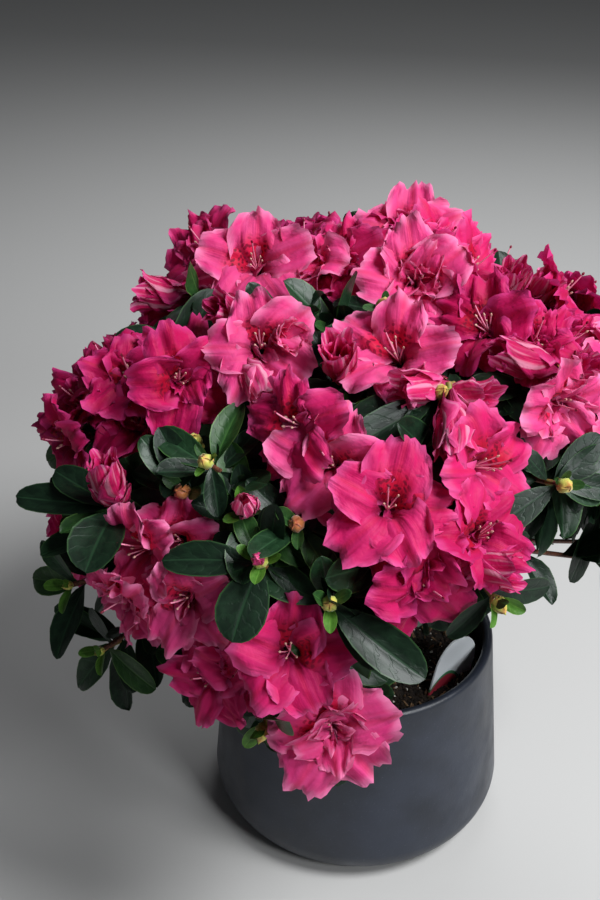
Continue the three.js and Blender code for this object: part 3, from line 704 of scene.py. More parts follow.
def bear_leaf_bud(shoot, roll, size=1.0, kind="bud"):
    """An onion-shaped bud of close scales at the heart of a leafy shoot."""
    frame = upright_frame(shoot["look"])
    for ring, (number, length) in enumerate([(4, 13), (5, 10.5), (5, 7)]):
        bear_corolla(
            bracts[kind], frame, shoot["foot"] - shoot["look"] * 1.0, roll, number, 360 * roll(), 12,
            length=length * size, wide=3.8 * size, neck=1.0 * size, tube=44 + 3 * ring, open=-44 + 7 * ring,
            bend=0.05, soft=0.75, curl=(-4, 8), cup=0, ruffle=0, fold=0, crumple=0.1, tooth=0, scallop=0,
            slant=0.35, flat=0, shoulder=0.6, taper=0.6, twist=0, tile=ring,
        )
    if shoot.get("blush"):
        bear_corolla(
            petals["pink"], frame, shoot["foot"] + shoot["look"] * 4, roll, 4, 40, 20,
            length=13 * size, wide=3.6 * size, neck=1.2, tube=20, open=-26, bend=0.1, soft=0.7, curl=0,
            ruffle=0.3, fold=0.2, crumple=0.2, slant=0.7, flat=0, tile=1, shoulder=0.5, tooth=0, scallop=0,
        )
    core = shoot["foot"] + shoot["look"] * np.linspace(0, 9.6, 6)[:, None] * size
    bear_strand(kind, core, np.array([1.2, 2.3, 2.6, 2.0, 1.1, 0.3]) * size)


def bear_leaf(tint, root, tip_way, up, length, wide, form):
    """One leaf: from its root along a way, its face up."""
    along = unit(tip_way)
    face = unit(up - along * up.dot(along))
    turn = Matrix(np.array([along, np.cross(face, along), face]).T.tolist()).to_quaternion()
    scale = (length * MM, wide * MM, (length + wide) / 2 * MM)
    leaves[tint].append((root * MM, tuple(turn), scale, form))


# Where the blooms lie, so that no leaf is put across one's face.
bloom_faces = []


def crosses_bloom(points, own):
    for face, look, reach, shoot in bloom_faces:
        if shoot is own:
            continue
        offset = points - face
        above = offset @ look
        beside = np.linalg.norm(offset - above[:, None] * look, axis=1)
        if np.any((beside < reach) & (above > -9) & (above < 14)):
            return True
    return False


def bear_whorl(shoot, roll, number, start, depth, lift, sizes, tints, spacing=1.5, reach=1.0):
    """Leaves that stand round a shoot, tipped up towards its face by the lift."""
    frame = spray_frame(shoot["look"])
    if shoot.get("bare"):
        return
    low, high = shoot.get("sweep", (start, start + 360))
    for i in range(number):
        turn = math.radians(low + (high - low) / number * (i + 0.5) + 30 * (roll() - 0.5))
        size = between(roll, *sizes) * shoot.get("leaf", 1)
        tip = math.radians(lift + 20 * (roll() - 0.5))
        local = np.array([math.cos(turn) * math.cos(tip), math.sin(turn) * math.cos(tip), math.sin(tip)])
        way = frame @ local
        root = shoot["foot"] - shoot["look"] * (depth + spacing * i)
        length = LEAF_LENGTH * size * reach
        droop = way - np.array([0, 0, 0.12])
        tint = tints[int(len(tints) * roll())]
        form = int(8 * roll())
        wide = LEAF_WIDTH * size * between(roll, 0.86, 1.08)
        points = root + droop * length * np.linspace(0.35, 1, 4)[:, None]
        if not crosses_bloom(points, shoot):
            bear_leaf(tint, root, droop, shoot["look"] + np.array([0, 0, 0.35]), length, wide, form)


def leaf_twig(line, roll, low, high, number, sizes=(0.6, 0.95), tints=("dark", "deep", "dark")):
    """Older leaves that stand off a twig between two shares of its length."""
    for i in range(number):
        share = low + (high - low) * (i + roll()) / number
        along = line.along(share)
        side = unit(np.cross(along, [math.sin(5.1 * i), math.cos(5.1 * i), 0.4]))
        turned = Matrix.Rotation(2.4 * i + 6.28 * roll(), 3, Vector(along)) @ Vector(side)
        way = unit(np.array(turned) * 0.9 + along * 0.5 + np.array([0, 0, 0.1]))
        size = between(roll, *sizes)
        root = line.at(share)
        points = root + way * LEAF_LENGTH * size * np.linspace(0.4, 1, 4)[:, None]
        if not crosses_bloom(points, None):
            up = np.array([0, 0, 1.0]) + unit(root - CROWN_CENTRE) * 0.6
            tint = tints[int(len(tints) * roll())]
            bear_leaf(tint, root, way, up, LEAF_LENGTH * size, LEAF_WIDTH * size, int(8 * roll()))


def grow_shoot(shoot, roll, line):
    """Everything a shoot bears at its tip."""
    kind, look = shoot["kind"], shoot["look"]
    tint = shoot.get("tint") or TINTS[int(3 * roll())]
    lift = shoot.get("lift", LEAF_LIFTS[kind])
    size = shoot.get("size", between(roll, 0.97, 1.07))
    old = ("dark", "deep", "dark", "mid")
    start = 360 * roll()
    if kind in ("open", "ruffled"):
        bear_bloom(shoot, roll, tint, size)
        bear_whorl(shoot, roll, 6, start, 3.5, lift, (0.62, 0.98), old)
        bear_whorl(shoot, roll, 6, start + 30, 15, lift - 12, (0.7, 1.08), ("dark", "deep", "dark"), 2.4)
    elif kind == "furled":
        bear_furled(shoot, roll, tint, size)
        if shoot.get("beside"):
            bear_buds({**shoot, "number": 3}, roll, tint, shoot["beside"])
        bear_whorl(shoot, roll, 6, start, 3, lift, (0.5, 0.9), old)
        bear_whorl(shoot, roll, 5, start + 30, 13, lift - 14, (0.7, 1.05), ("dark", "deep"), 2.4)
    elif kind == "buds":
        bear_buds(shoot, roll, tint, size)
        bear_whorl(shoot, roll, 3, start, 1, 50, (0.3, 0.42), ("young", "mid"), 0.4)
        bear_whorl(shoot, roll, 7, start + 20, 3.5, lift, (0.65, 1.05), old)
        bear_whorl(shoot, roll, 5, start + 50, 14, lift - 14, (0.7, 1.1), ("dark", "deep"), 2)
    elif shoot.get("few"):
        bear_leaf_bud(shoot, roll, shoot.get("bud", 1), "bud")
        bear_whorl(shoot, roll, 3, start + 40, 0.5, 46, (0.26, 0.4), ("young", "mid"), 0.4)
        bear_whorl(shoot, roll, 5, start, 3.5, lift, (0.7, 1.02), old, 2.5)
    else:
        bear_leaf_bud(shoot, roll, size, "brown" if roll() < 0.35 else "bud")
        bear_whorl(shoot, roll, 3, start + 40, 0.5, 46, (0.26, 0.4), ("young", "mid"), 0.4)
        bear_whorl(shoot, roll, 8, start, 3.5, lift - 4, (0.6, 0.98), old)
        bear_whorl(shoot, roll, 5, start + 30, 13, lift - 16, (0.72, 1.1), ("dark", "deep", "dark"), 2)
    for turn, tip, length, wide in shoot.get("key", []):
        turn, tip = math.radians(turn), math.radians(tip)
        local = np.array([math.cos(turn) * math.cos(tip), math.sin(turn) * math.cos(tip), math.sin(tip)])
        way = spray_frame(look) @ local
        up = look * 0.3 + np.array([0, -0.45, 0.6])
        bear_leaf("dark", shoot["foot"] - look * 2, way, up, length, wide, int(8 * roll()))
    if not shoot.get("bare") and "sweep" not in shoot:
        leaf_twig(line, roll, 0.45, 0.9, 5)
    neck = shoot["foot"] - look * np.linspace(4 if shoot.get("bare") else 12, 0, 4)[:, None]
    bear_strand("green", neck, np.array([1.7, 1.5, 1.3, 1.5]))


def grow_crown():
    """All masses: their shoots, hearts, boughs, spray stems, twigs, and the finer shoots on these."""
    main = {}
    for name, mass in MASSES.items():
        table = mass.get("shoots") or ring_shoots(*mass["ring"])
        main[name] = [shoot_at(name, *row) for row in table]
    boughs = grow_boughs({name: heart_of(shoots) for name, shoots in main.items()})
    finer = {name: [shoot_at(name, *row) for row in FINER_SHOOTS.get(name, [])] for name in MASSES}
    for k, name in enumerate(MASSES):
        if "ring" in MASSES[name]:
            finer[name] = ring_companions(main[name], dice(700 + k))
        roll = dice(300 + k)
        for i, shoot in enumerate(main[name] + finer[name]):
            if shoot["kind"] in ("open", "ruffled", "furled"):
                shoot["size"] = between(roll, 0.76, 0.9)
            shoot.update(NOTES.get((name, i), {}))
            if isinstance(shoot["look"], tuple):
                shoot["look"], before = heading(*shoot["look"]), heading(*MASSES[name]["shoots"][i][3:5])
                shoot["foot"] = shoot["foot"] + (before - shoot["look"]) * DEPTHS[shoot["kind"]]
            push = shoot.get("push", 0)
            if shoot["kind"] in ("open", "ruffled", "furled"):
                push += 20 * (1 - shoot["size"])
            shoot["foot"] = shoot["foot"] + shoot["look"] * push
    for name in MASSES:
        for shoot in main[name] + finer[name]:
            if shoot["kind"] in ("open", "ruffled"):
                size = shoot["size"]
                face = shoot["foot"] + shoot["look"] * 20 * size
                bloom_faces.append((face, shoot["look"], 27 * size, shoot))
            elif shoot["kind"] in ("furled", "buds"):
                bloom_faces.append((shoot["foot"] + shoot["look"] * 16, shoot["look"], 10, shoot))
    for k, (name, shoots) in enumerate(main.items()):
        stem = spray_stem(boughs[name], shoots)
        girths = SPRAY_STEM["foot"] + (SPRAY_STEM["tip"] - SPRAY_STEM["foot"]) * np.linspace(0, 1, 12)
        bear_strand("twig", stem.at(np.linspace(0, 1, 12)), girths)
        twigs = []
        for i, shoot in enumerate(shoots):
            share = FIRST_TWIG + (1 - FIRST_TWIG) * (i + 0.5) / len(shoots)
            line = twig_to(stem.at(share), shoot, shoot.get("bow", TWIG_BOW))
            twigs.append(line)
            bear_strand("twig", line.at(np.linspace(0, 1, 10)), np.linspace(1.9, 1.4, 10))
            grow_shoot(shoot, dice(1000 * k + i), line)
        for i, shoot in enumerate(finer[name]):
            nearest = min(twigs, key=lambda twig: np.linalg.norm(twig.at(0.6) - shoot["foot"]))
            line = twig_to(nearest.at(0.55), shoot, shoot.get("bow", 0.5))
            bear_strand("twig", line.at(np.linspace(0, 1, 9)), np.linspace(1.5, 1.2, 9))
            grow_shoot(shoot, dice(1000 * k + 500 + i), line)
        for i in range(5):
            roll = dice(9000 + 10 * k + i)
            inner = leafy_spur(stem, roll)
            line = twig_to(stem.at(between(roll, 0.1, 0.9)), inner)
            bear_strand("twig", line.at(np.linspace(0, 1, 7)), np.linspace(1.3, 0.9, 7))
            bear_whorl(inner, roll, 6, 360 * roll(), 1, 5, (0.7, 1.1), ("dark", "deep", "dark"), 2.5)
    return boughs


def ring_companions(shoots, roll):
    """Sides and back are as full as the front: between the shoots of a ring stand two more for each."""
    found = []
    highest = max(shoot["foot"][2] for shoot in shoots)
    kinds = ["ruffled", "open", "ruffled", "leafy", "open", "ruffled", "furled"]
    for i in range(4 * len(shoots)):
        near = shoots[i % len(shoots)]
        out = unit(near["foot"] - CROWN_CENTRE)
        side = unit(np.cross(out, [0.3 * math.sin(i), 0.2, 1.0]))
        turn = Matrix.Rotation(2.4 * i + 6.28 * roll(), 3, Vector(out)) @ Vector(side)
        offset = np.array(turn) * between(roll, 38, 50)
        foot = near["foot"] + offset - out * between(roll, 2, 8)
        spread = (foot - CROWN_CENTRE) / CROWN_REACH
        foot = CROWN_CENTRE + (foot - CROWN_CENTRE) * min(1, 0.83 / np.linalg.norm(spread))
        crowded = any(np.linalg.norm(foot - other["foot"]) < COMPANIONS_APART for other in shoots + found)
        if crowded or not LOWEST_COMPANION < foot[2] < highest - 0.35 * max(foot[0], 0):
            continue
        look = unit(near["look"] + np.array(turn) * 0.45)
        kind = kinds[len(found) % len(kinds)]
        found.append({"mass": near["mass"], "kind": kind, "look": look, "foot": foot})
    return found[: 2 * len(shoots)]


def leafy_spur(stem, roll):
    """A short leafy spur inside the crown, which fills the dark between the blooms."""
    start = stem.at(between(roll, 0.3, 1))
    out = unit(start - CROWN_CENTRE)
    turn = Matrix.Rotation(6.28 * roll(), 3, Vector(out)) @ Vector(unit(np.cross(out, [0.2, 0.1, 1])))
    look = unit(out + np.array(turn) * between(roll, 0.5, 1.1))
    foot = start + look * between(roll, 28, 52)
    spread = np.linalg.norm((foot - CROWN_CENTRE) / CROWN_REACH)
    if spread > 0.78:
        foot = CROWN_CENTRE + (foot - CROWN_CENTRE) * 0.78 / spread
    return {"mass": "", "kind": "leafy", "look": look, "foot": foot}


# Materials. Colours are written as they look, and turned to linear light by one function.
def linear(code):
    channels = [int(code[i : i + 2], 16) / 255 for i in (1, 3, 5)]
    return (*[c / 12.92 if c <= 0.04045 else ((c + 0.055) / 1.055) ** 2.4 for c in channels], 1.0)


# Short names for nodes: Blender's name, what is set on one, its inputs in the order given, its output.
SUMS = (
    "add", "subtract", "multiply", "maximum", "absolute", "floor", "fract", "sine", "less_than",
    "greater_than",
)
NODES = {name: ("ShaderNodeMath", {"operation": name.upper()}, (0, 1), 0) for name in SUMS}
NODES["mix"] = ("ShaderNodeMix", {"data_type": "RGBA"}, (0, 6, 7), 2)
NODES["range"] = ("ShaderNodeMapRange", {"interpolation_type": "SMOOTHSTEP"}, (0, 1, 2, 3, 4), 0)
NODES["noise"] = ("ShaderNodeTexNoise", {}, (0, 2, 3, 4), 0)
NODES["cells"] = ("ShaderNodeTexVoronoi", {"voronoi_dimensions": "2D"}, ("Vector", "Scale"), 0)
NODES["spot"] = ("ShaderNodeCombineXYZ", {}, (0, 1), 0)
NODES["bump"] = ("ShaderNodeBump", {}, ("Height", 0, 1), 0)
NODES["surface"] = ("ShaderNodeBsdfPrincipled", {}, ("Base Color", "Roughness", "Normal"), 0)
NODES["finish"] = ("ShaderNodeOutputMaterial", {}, (0,), None)


def add(tree, kind, *values, out=None, more=None, **settings):
    """Adds one node and gives its output. A value that is a socket is linked to its input, a colour code
    is turned linear, any other is set; more values come by the input's own name or number."""
    name, fixed, order, main = NODES.get(kind, (kind, {}, range(8), 0))
    made = tree.nodes.new(name)
    for key, value in {**fixed, **settings}.items():
        setattr(made, key, value)
    for key, value in [*zip(order, values), *(more or {}).items()]:
        if isinstance(value, bpy.types.NodeSocket):
            tree.links.new(value, made.inputs[key])
        else:
            colour = isinstance(value, str) and value.startswith("#")
            made.inputs[key].default_value = linear(value) if colour else value
    return made.outputs[main if out is None else out] if made.outputs else None


def new_material(name):
    made = bpy.data.materials.new(name)
    made.use_nodes = True
    made.node_tree.nodes.clear()
    return made, made.node_tree


def across_and_along(tree):
    """Where a point lies on its petal, leaf or card: across it and along it, each from 0 to 1."""
    flat = add(tree, "ShaderNodeUVMap", uv_map="OFBake")
    split = add(tree, "ShaderNodeSeparateXYZ", flat).node
    return split.outputs[0], split.outputs[1]


def petal_material(name, throat, body, margin, flush, streak):
    """Azalea petal: soft and matte, and lit from behind it glows. Its map has four petals side by side:
    the upper one with its flushed, dashed blotch, a plain one, a petaloid, and a pale-streaked furled one."""
    made, tree = new_material(name)
    u, v = across_and_along(tree)
    four = add(tree, "multiply", u, 4.0)
    tile = add(tree, "floor", four)
    across = add(tree, "subtract", add(tree, "multiply", add(tree, "fract", four), 2.0), 1.0)
    off = add(tree, "absolute", across)
    # Fine veins fan out from the base and darken the petal a little. The real ones lie under a millimetre
    # apart, too fine to show, so these are about 3 mm apart.
    fan = add(tree, "spot", add(tree, "multiply", four, 11.0), v)
    veins = add(tree, "range", add(tree, "noise", fan, 1.0, 2.0), 0.38, 0.72)
    broad = add(tree, "spot", add(tree, "multiply", four, 2.2), v)
    cloud = add(tree, "range", add(tree, "noise", broad, 1.6, 2.0), 0.3, 0.75)
    colour = add(tree, "mix", add(tree, "range", v, 0.1, 0.62), throat, body)
    edge = add(tree, "maximum", add(tree, "range", off, 0.62, 1.0), add(tree, "range", v, 0.84, 1.0))
    lighter = add(tree, "add", edge, add(tree, "multiply", cloud, 0.25))
    lighter = add(tree, "multiply", lighter, 0.7, use_clamp=True)
    colour = add(tree, "mix", lighter, colour, margin)
    keel = add(tree, "range", off, 0.0, 0.16, 0.3, 0.0)
    shade = add(tree, "add", add(tree, "multiply", veins, 0.18), keel, use_clamp=True)
    colour = add(tree, "mix", shade, colour, flush)
    # The blotch: dashes along the veins, close near the throat and sparser outwards.
    dashes = add(tree, "spot", add(tree, "multiply", four, 9.0), add(tree, "multiply", v, 17.0))
    dots = add(tree, "range", add(tree, "cells", dashes, 1.0), 0.2, 0.38, 1.0, 0.0)
    within = add(tree, "range", off, 0.25, 0.78, 1.0, 0.0)
    within = add(tree, "multiply", within, add(tree, "range", v, 0.16, 0.28))
    within = add(tree, "multiply", within, add(tree, "range", v, 0.5, 0.74, 1.0, 0.0))
    within = add(tree, "multiply", add(tree, "multiply", within, 0.85), add(tree, "less_than", tile, 0.5))
    colour = add(tree, "mix", within, colour, flush)
    colour = add(tree, "mix", add(tree, "multiply", within, dots), colour, "#6E0A2C")
    # Furled petals show their pale, streaked backs.
    pale = add(tree, "range", add(tree, "noise", fan, 0.9, 1.0), 0.5, 0.66)
    pale = add(tree, "multiply", pale, add(tree, "range", v, 0.2, 0.5))
    pale = add(tree, "multiply", add(tree, "multiply", pale, add(tree, "greater_than", tile, 2.5)), 0.5)
    colour = add(tree, "mix", pale, colour, streak)
    # Thin veins and a fine crinkle, pressed into the petal.
    small = add(tree, "spot", add(tree, "multiply", four, 5.0), add(tree, "multiply", v, 7.0))
    crinkle = add(tree, "add", add(tree, "noise", small, 1.0, 3.0), add(tree, "multiply", veins, -0.3))
    normal = add(tree, "bump", crinkle, 0.55, 0.0016)
    soft = {"Specular IOR Level": 0.16, "Sheen Weight": 0.03}
    main = add(tree, "surface", colour, 0.55, normal, more=soft)
    through = add(tree, "ShaderNodeBsdfTranslucent", colour)
    add(tree, "finish", add(tree, "ShaderNodeMixShader", 0.3, main, through))
    return made


def leaf_material(name, face, rib, edge, rough, coat):
    """Azalea leaf: leathery and glossy, with a pale midrib, impressed side veins and a thin lighter edge.
    It has six pairs of side veins, which lie 6 mm apart on the longer leaves."""
    made, tree = new_material(name)
    u, v = across_and_along(tree)
    across = add(tree, "subtract", add(tree, "multiply", u, 2.0), 1.0)
    off = add(tree, "absolute", across)
    spread = add(tree, "spot", across, add(tree, "multiply", v, 2.2))
    blotches = add(tree, "range", add(tree, "noise", spread, 2.4, 3.0), 0.3, 0.75)
    slant = add(tree, "subtract", add(tree, "multiply", v, 40.0), add(tree, "multiply", off, 8.0))
    slant = add(tree, "add", slant, add(tree, "multiply", blotches, 3.0))
    ribs = add(tree, "range", add(tree, "sine", slant), 0.6, 1.0)
    colour = add(tree, "mix", add(tree, "multiply", blotches, 0.4), face, rib)
    colour = add(tree, "mix", add(tree, "multiply", ribs, 0.1), colour, rib)
    colour = add(tree, "mix", add(tree, "range", off, 0.02, 0.08, 0.7, 0.0), colour, rib)
    colour = add(tree, "mix", add(tree, "range", off, 0.9, 0.98, 0.0, 0.55), colour, edge)
    pits = add(tree, "range", off, 0.02, 0.14, 1.0, 0.0)
    pits = add(tree, "maximum", add(tree, "multiply", ribs, 0.5), pits)
    pits = add(tree, "add", pits, add(tree, "multiply", add(tree, "cells", spread, 7.0), 0.1))
    relief = add(tree, "subtract", add(tree, "multiply", blotches, 0.3), pits)
    normal = add(tree, "bump", relief, 0.26, 0.0006)
    gloss = {"Specular IOR Level": 0.22, "Coat Weight": coat, "Coat Roughness": 0.36}
    main = add(tree, "surface", colour, rough, normal, more=gloss)
    through = add(tree, "ShaderNodeBsdfTranslucent", colour)
    add(tree, "finish", add(tree, "ShaderNodeMixShader", 0.1, main, through))
    return made


def scale_material(name, base, middle, tip):
    """Bud scales and sepals, downy, with tips that have turned."""
    made, tree = new_material(name)
    v = across_and_along(tree)[1]
    colour = add(tree, "mix", add(tree, "range", v, 0.05, 0.55), base, middle)
    colour = add(tree, "mix", add(tree, "range", v, 0.6, 1.0), colour, tip)
    add(tree, "finish", add(tree, "surface", colour, 0.5, more={"Sheen Weight": 0.25}))
    return made


def grained_material(name, dark, light, scale, rough, depth=0.0, stretch=(1, 1, 1)):
    """A rough natural skin of one grain, mixed between two colours, which breaks up the light; the scale
    counts grains to a metre, so that 160 are 6 mm long, as fissures of bark, and 420 are 2.4 mm, as peat."""
    made, tree = new_material(name)
    spot = add(tree, "ShaderNodeTexCoord", out="Object")
    spot = add(tree, "ShaderNodeMapping", spot, more={3: stretch})
    grain = add(tree, "noise", spot, scale, 4.0, 0.6)
    colour = add(tree, "mix", add(tree, "range", grain, 0.32, 0.7), dark, light)
    uneven = {"Normal": add(tree, "bump", grain, 0.6, depth)} if depth else {}
    add(tree, "finish", add(tree, "surface", colour, rough, more=uneven))
    return made


def plain_material(name, code, rough):
    """For threads and grains of a millimetre, whose own pattern is too fine to see, and for the ground."""
    made, tree = new_material(name)
    add(tree, "finish", add(tree, "surface", code, rough))
    return made


def pot_material():
    """Charcoal stoneware glaze: satin, with faint clouds some 40 mm long, lighter and darker, and specks.
    The real specks are finer than shows, so these are about 1 mm, and the dimples of the glaze 2.4 mm."""
    made, tree = new_material("charcoal_glaze")
    spot = add(tree, "ShaderNodeTexCoord", out="Object")
    cloud = add(tree, "range", add(tree, "noise", spot, 26.0, 3.0), 0.3, 0.7)
    colour = add(tree, "mix", cloud, "#1E232D", "#2A303D")
    specks = add(tree, "range", add(tree, "noise", spot, 900.0, 2.0), 0.66, 0.74)
    colour = add(tree, "mix", add(tree, "multiply", specks, 0.5), colour, "#4A505C")
    rough = add(tree, "range", add(tree, "noise", spot, 60.0, 2.0), 0.2, 0.8, 0.36, 0.5)
    normal = add(tree, "bump", add(tree, "noise", spot, 420.0, 3.0), 0.25, 0.0003)
    add(tree, "finish", add(tree, "surface", colour, rough, normal))
    return made


def label_material():
    """A smooth moulded plastic card, pale and a little shiny: a green band over a red foot, and no print."""
    made, tree = new_material("pale_plastic_card")
    u, v = across_and_along(tree)
    beside = add(tree, "subtract", u, 0.4)
    level = add(tree, "add", v, add(tree, "multiply", add(tree, "multiply", beside, beside), 0.9))
    colour = add(tree, "mix", add(tree, "less_than", level, 0.655), "#F2F7FA", "#4F9466")
    colour = add(tree, "mix", add(tree, "less_than", level, 0.622), colour, "#C2364C")
    add(tree, "finish", add(tree, "surface", colour, 0.35))
    return made


# Meshes and their growth.
def mesh_of(name, points, faces, uvs=None, smooth=True, material=None, metres=False):
    mesh = bpy.data.meshes.new(name)
    points = np.asarray(points, float) * (1 if metres else MM)
    mesh.from_pydata(points.tolist(), [], [tuple(int(i) for i in face) for face in faces])
    if uvs is not None:
        layer = mesh.uv_layers.new(name="OFBake")
        corners = np.empty(len(mesh.loops), dtype=np.int32)
        mesh.loops.foreach_get("vertex_index", corners)
        layer.data.foreach_set("uv", np.asarray(uvs, np.float32)[corners].ravel())
    if smooth:
        mesh.polygons.foreach_set("use_smooth", np.ones(len(mesh.polygons), dtype=bool))
    if material:
        mesh.materials.append(material)
    mesh.validate()
    mesh.update()
    return mesh


def place(mesh, name=None):
    piece = bpy.data.objects.new(name or mesh.name, mesh)
    bpy.context.scene.collection.objects.link(piece)
    return piece


def new_tree(name, inputs):
    """A growth tree with named inputs beside its geometry."""
    tree = bpy.data.node_groups.new(name, "GeometryNodeTree")
    tree.interface.new_socket("Geometry", in_out="INPUT", socket_type="NodeSocketGeometry")
    tree.interface.new_socket("Geometry", in_out="OUTPUT", socket_type="NodeSocketGeometry")
    for label, kind in inputs.items():
        tree.interface.new_socket(label, in_out="INPUT", socket_type="NodeSocket" + kind)
    return tree, add(tree, "NodeGroupInput").node.outputs


def close_tree(tree, geometry, material):
    whole = add(tree, "GeometryNodeRealizeInstances", geometry)
    whole = add(tree, "GeometryNodeSetMaterial", whole, more={2: material})
    add(tree, "NodeGroupOutput", whole)
    return tree


def settle(host, tree, name, **values):
    """Grows the tree on its host once, keeps the plain mesh, and drops the host."""
    modifier = host.modifiers.new("growth", "NODES")
    modifier.node_group = tree
    for item in tree.interface.items_tree:
        if item.in_out == "INPUT" and item.name in values:
            modifier[item.identifier] = values[item.name]
    host.update_tag()
    graph = bpy.context.evaluated_depsgraph_get()
    grown = host.evaluated_get(graph)
    mesh = bpy.data.meshes.new_from_object(grown, preserve_all_data_layers=True, depsgraph=graph)
    mesh.name = name
    bpy.data.objects.remove(host)
    return place(mesh)


def tube_tree():
    """Round stems along lines: the girth of each point is kept, knots and bark stand out by the relief."""
    inputs = {"Sides": "Int", "Relief": "Float", "Grain": "Float", "Material": "Material"}
    tree, start = new_tree("stems_along_lines", inputs)
    curve = add(tree, "GeometryNodeMeshToCurve", start["Geometry"])
    ring = add(tree, "GeometryNodeCurvePrimitiveCircle", start["Sides"], more={4: 1.0})
    girth = add(tree, "GeometryNodeInputNamedAttribute", "girth", data_type="FLOAT")
    tube = add(tree, "GeometryNodeCurveToMesh", curve, ring, girth, True)
    spot = add(tree, "GeometryNodeInputPosition")
    rough = add(tree, "noise", spot, start["Grain"], 3.0)
    lift = add(tree, "multiply", add(tree, "subtract", rough, 0.5), start["Relief"])
    normal = add(tree, "GeometryNodeInputNormal")
    outward = add(tree, "ShaderNodeVectorMath", normal, more={3: lift}, operation="SCALE")
    tube = add(tree, "GeometryNodeSetPosition", tube, more={3: outward})
    tube = add(tree, "GeometryNodeSetShadeSmooth", tube)
    return close_tree(tree, tube, start["Material"])


def lines_host(lines):
    """One mesh of many open lines in mm, each point with its girth."""
    points, edges, girths = [], [], []
    for line, girth in lines:
        first = len(points)
        points += [tuple(p * MM) for p in line]
        girths += [g * MM for g in girth]
        edges += [(first + i, first + i + 1) for i in range(len(line) - 1)]
    mesh = bpy.data.meshes.new("lines")
    mesh.from_pydata(points, edges, [])
    mesh.attributes.new("girth", "FLOAT", "POINT").data.foreach_set("value", girths)
    return place(mesh)


def leaf_tree():
    """Leaves set on points, each point with its aim, its spread and the form that it takes."""
    tree, start = new_tree("leaves_on_points", {"Forms": "Collection", "Material": "Material"})
    forms = add(tree, "GeometryNodeCollectionInfo", start["Forms"], True, True)
    aim = add(tree, "GeometryNodeInputNamedAttribute", "aim", data_type="QUATERNION")
    spread = add(tree, "GeometryNodeInputNamedAttribute", "spread", data_type="FLOAT_VECTOR")
    form = add(tree, "GeometryNodeInputNamedAttribute", "form", data_type="INT")
    points = add(tree, "GeometryNodeMeshToPoints", start["Geometry"])
    chosen = {2: forms, 3: True, 4: form, 5: aim, 6: spread}
    grown = add(tree, "GeometryNodeInstanceOnPoints", points, more=chosen)
    return close_tree(tree, grown, start["Material"])


def leaf_form(k):
    """One of the leaf shapes: a blunt oval, widest past its middle, folded along its midrib and drooping."""
    roll = dice(60 + k)
    droop, fold = between(roll, 0.02, 0.24), between(roll, 0.04, 0.2)
    curl, sway, wave = between(roll, -0.06, 0.16), between(roll, -0.05, 0.05), between(roll, 0.01, 0.05)
    rows = np.array([0, 0.07, 0.2, 0.36, 0.52, 0.68, 0.82, 0.92, 0.975, 1.0])
    points, uvs = [], []
    for t in rows:
        half = 0.5 * (max(t - 0.05, 0) / 0.55) ** 0.8 * ((1.001 - t) / 0.4) ** 0.55
        half = max(min(half, 0.5), 0.022) if t < 1 else 0.008
        for u in (-1, -0.5, 0, 0.5, 1):
            lift = fold * abs(u) * half * 2 - droop * t**2 + 0.1 * t
            lift += wave * math.sin(9 * t + 2.2 * u + k) * u * u
            lift -= curl * (u * u) * half
            points.append((t, u * half + sway * math.sin(math.pi * t), lift))
            uvs.append(((u + 1) / 2, t))
    faces = grid_faces(1, 5, len(rows))
    return mesh_of(f"leaf_form_{k}", points, faces, uvs, metres=True)


def leaves_host(entries):
    mesh = bpy.data.meshes.new("leaf_points")
    mesh.from_pydata([tuple(entry[0]) for entry in entries], [], [])
    aims = np.array([entry[1] for entry in entries], np.float32)
    mesh.attributes.new("aim", "QUATERNION", "POINT").data.foreach_set("value", aims.ravel())
    spreads = np.array([entry[2] for entry in entries], np.float32)
    mesh.attributes.new("spread", "FLOAT_VECTOR", "POINT").data.foreach_set("vector", spreads.ravel())
    mesh.attributes.new("form", "INT", "POINT").data.foreach_set("value", [entry[3] for entry in entries])
    return place(mesh)


def pot_tree():
    """Turns an outline round the upright axis."""
    tree, start = new_tree("turned_outline", {"Sides": "Int", "Material": "Material"})
    outline = add(tree, "GeometryNodeMeshToCurve", start["Geometry"])
    round_ = add(tree, "GeometryNodeCurvePrimitiveCircle", start["Sides"], more={4: 0.001})
    round_ = add(tree, "GeometryNodeSetCurveNormal", round_, mode="Z_UP")
    turned = add(tree, "GeometryNodeCurveToMesh", round_, outline)
    turned = add(tree, "GeometryNodeMergeByDistance", turned, more={2: 0.00002})
    turned = add(tree, "GeometryNodeSetShadeSmooth", turned)
    return close_tree(tree, turned, start["Material"])


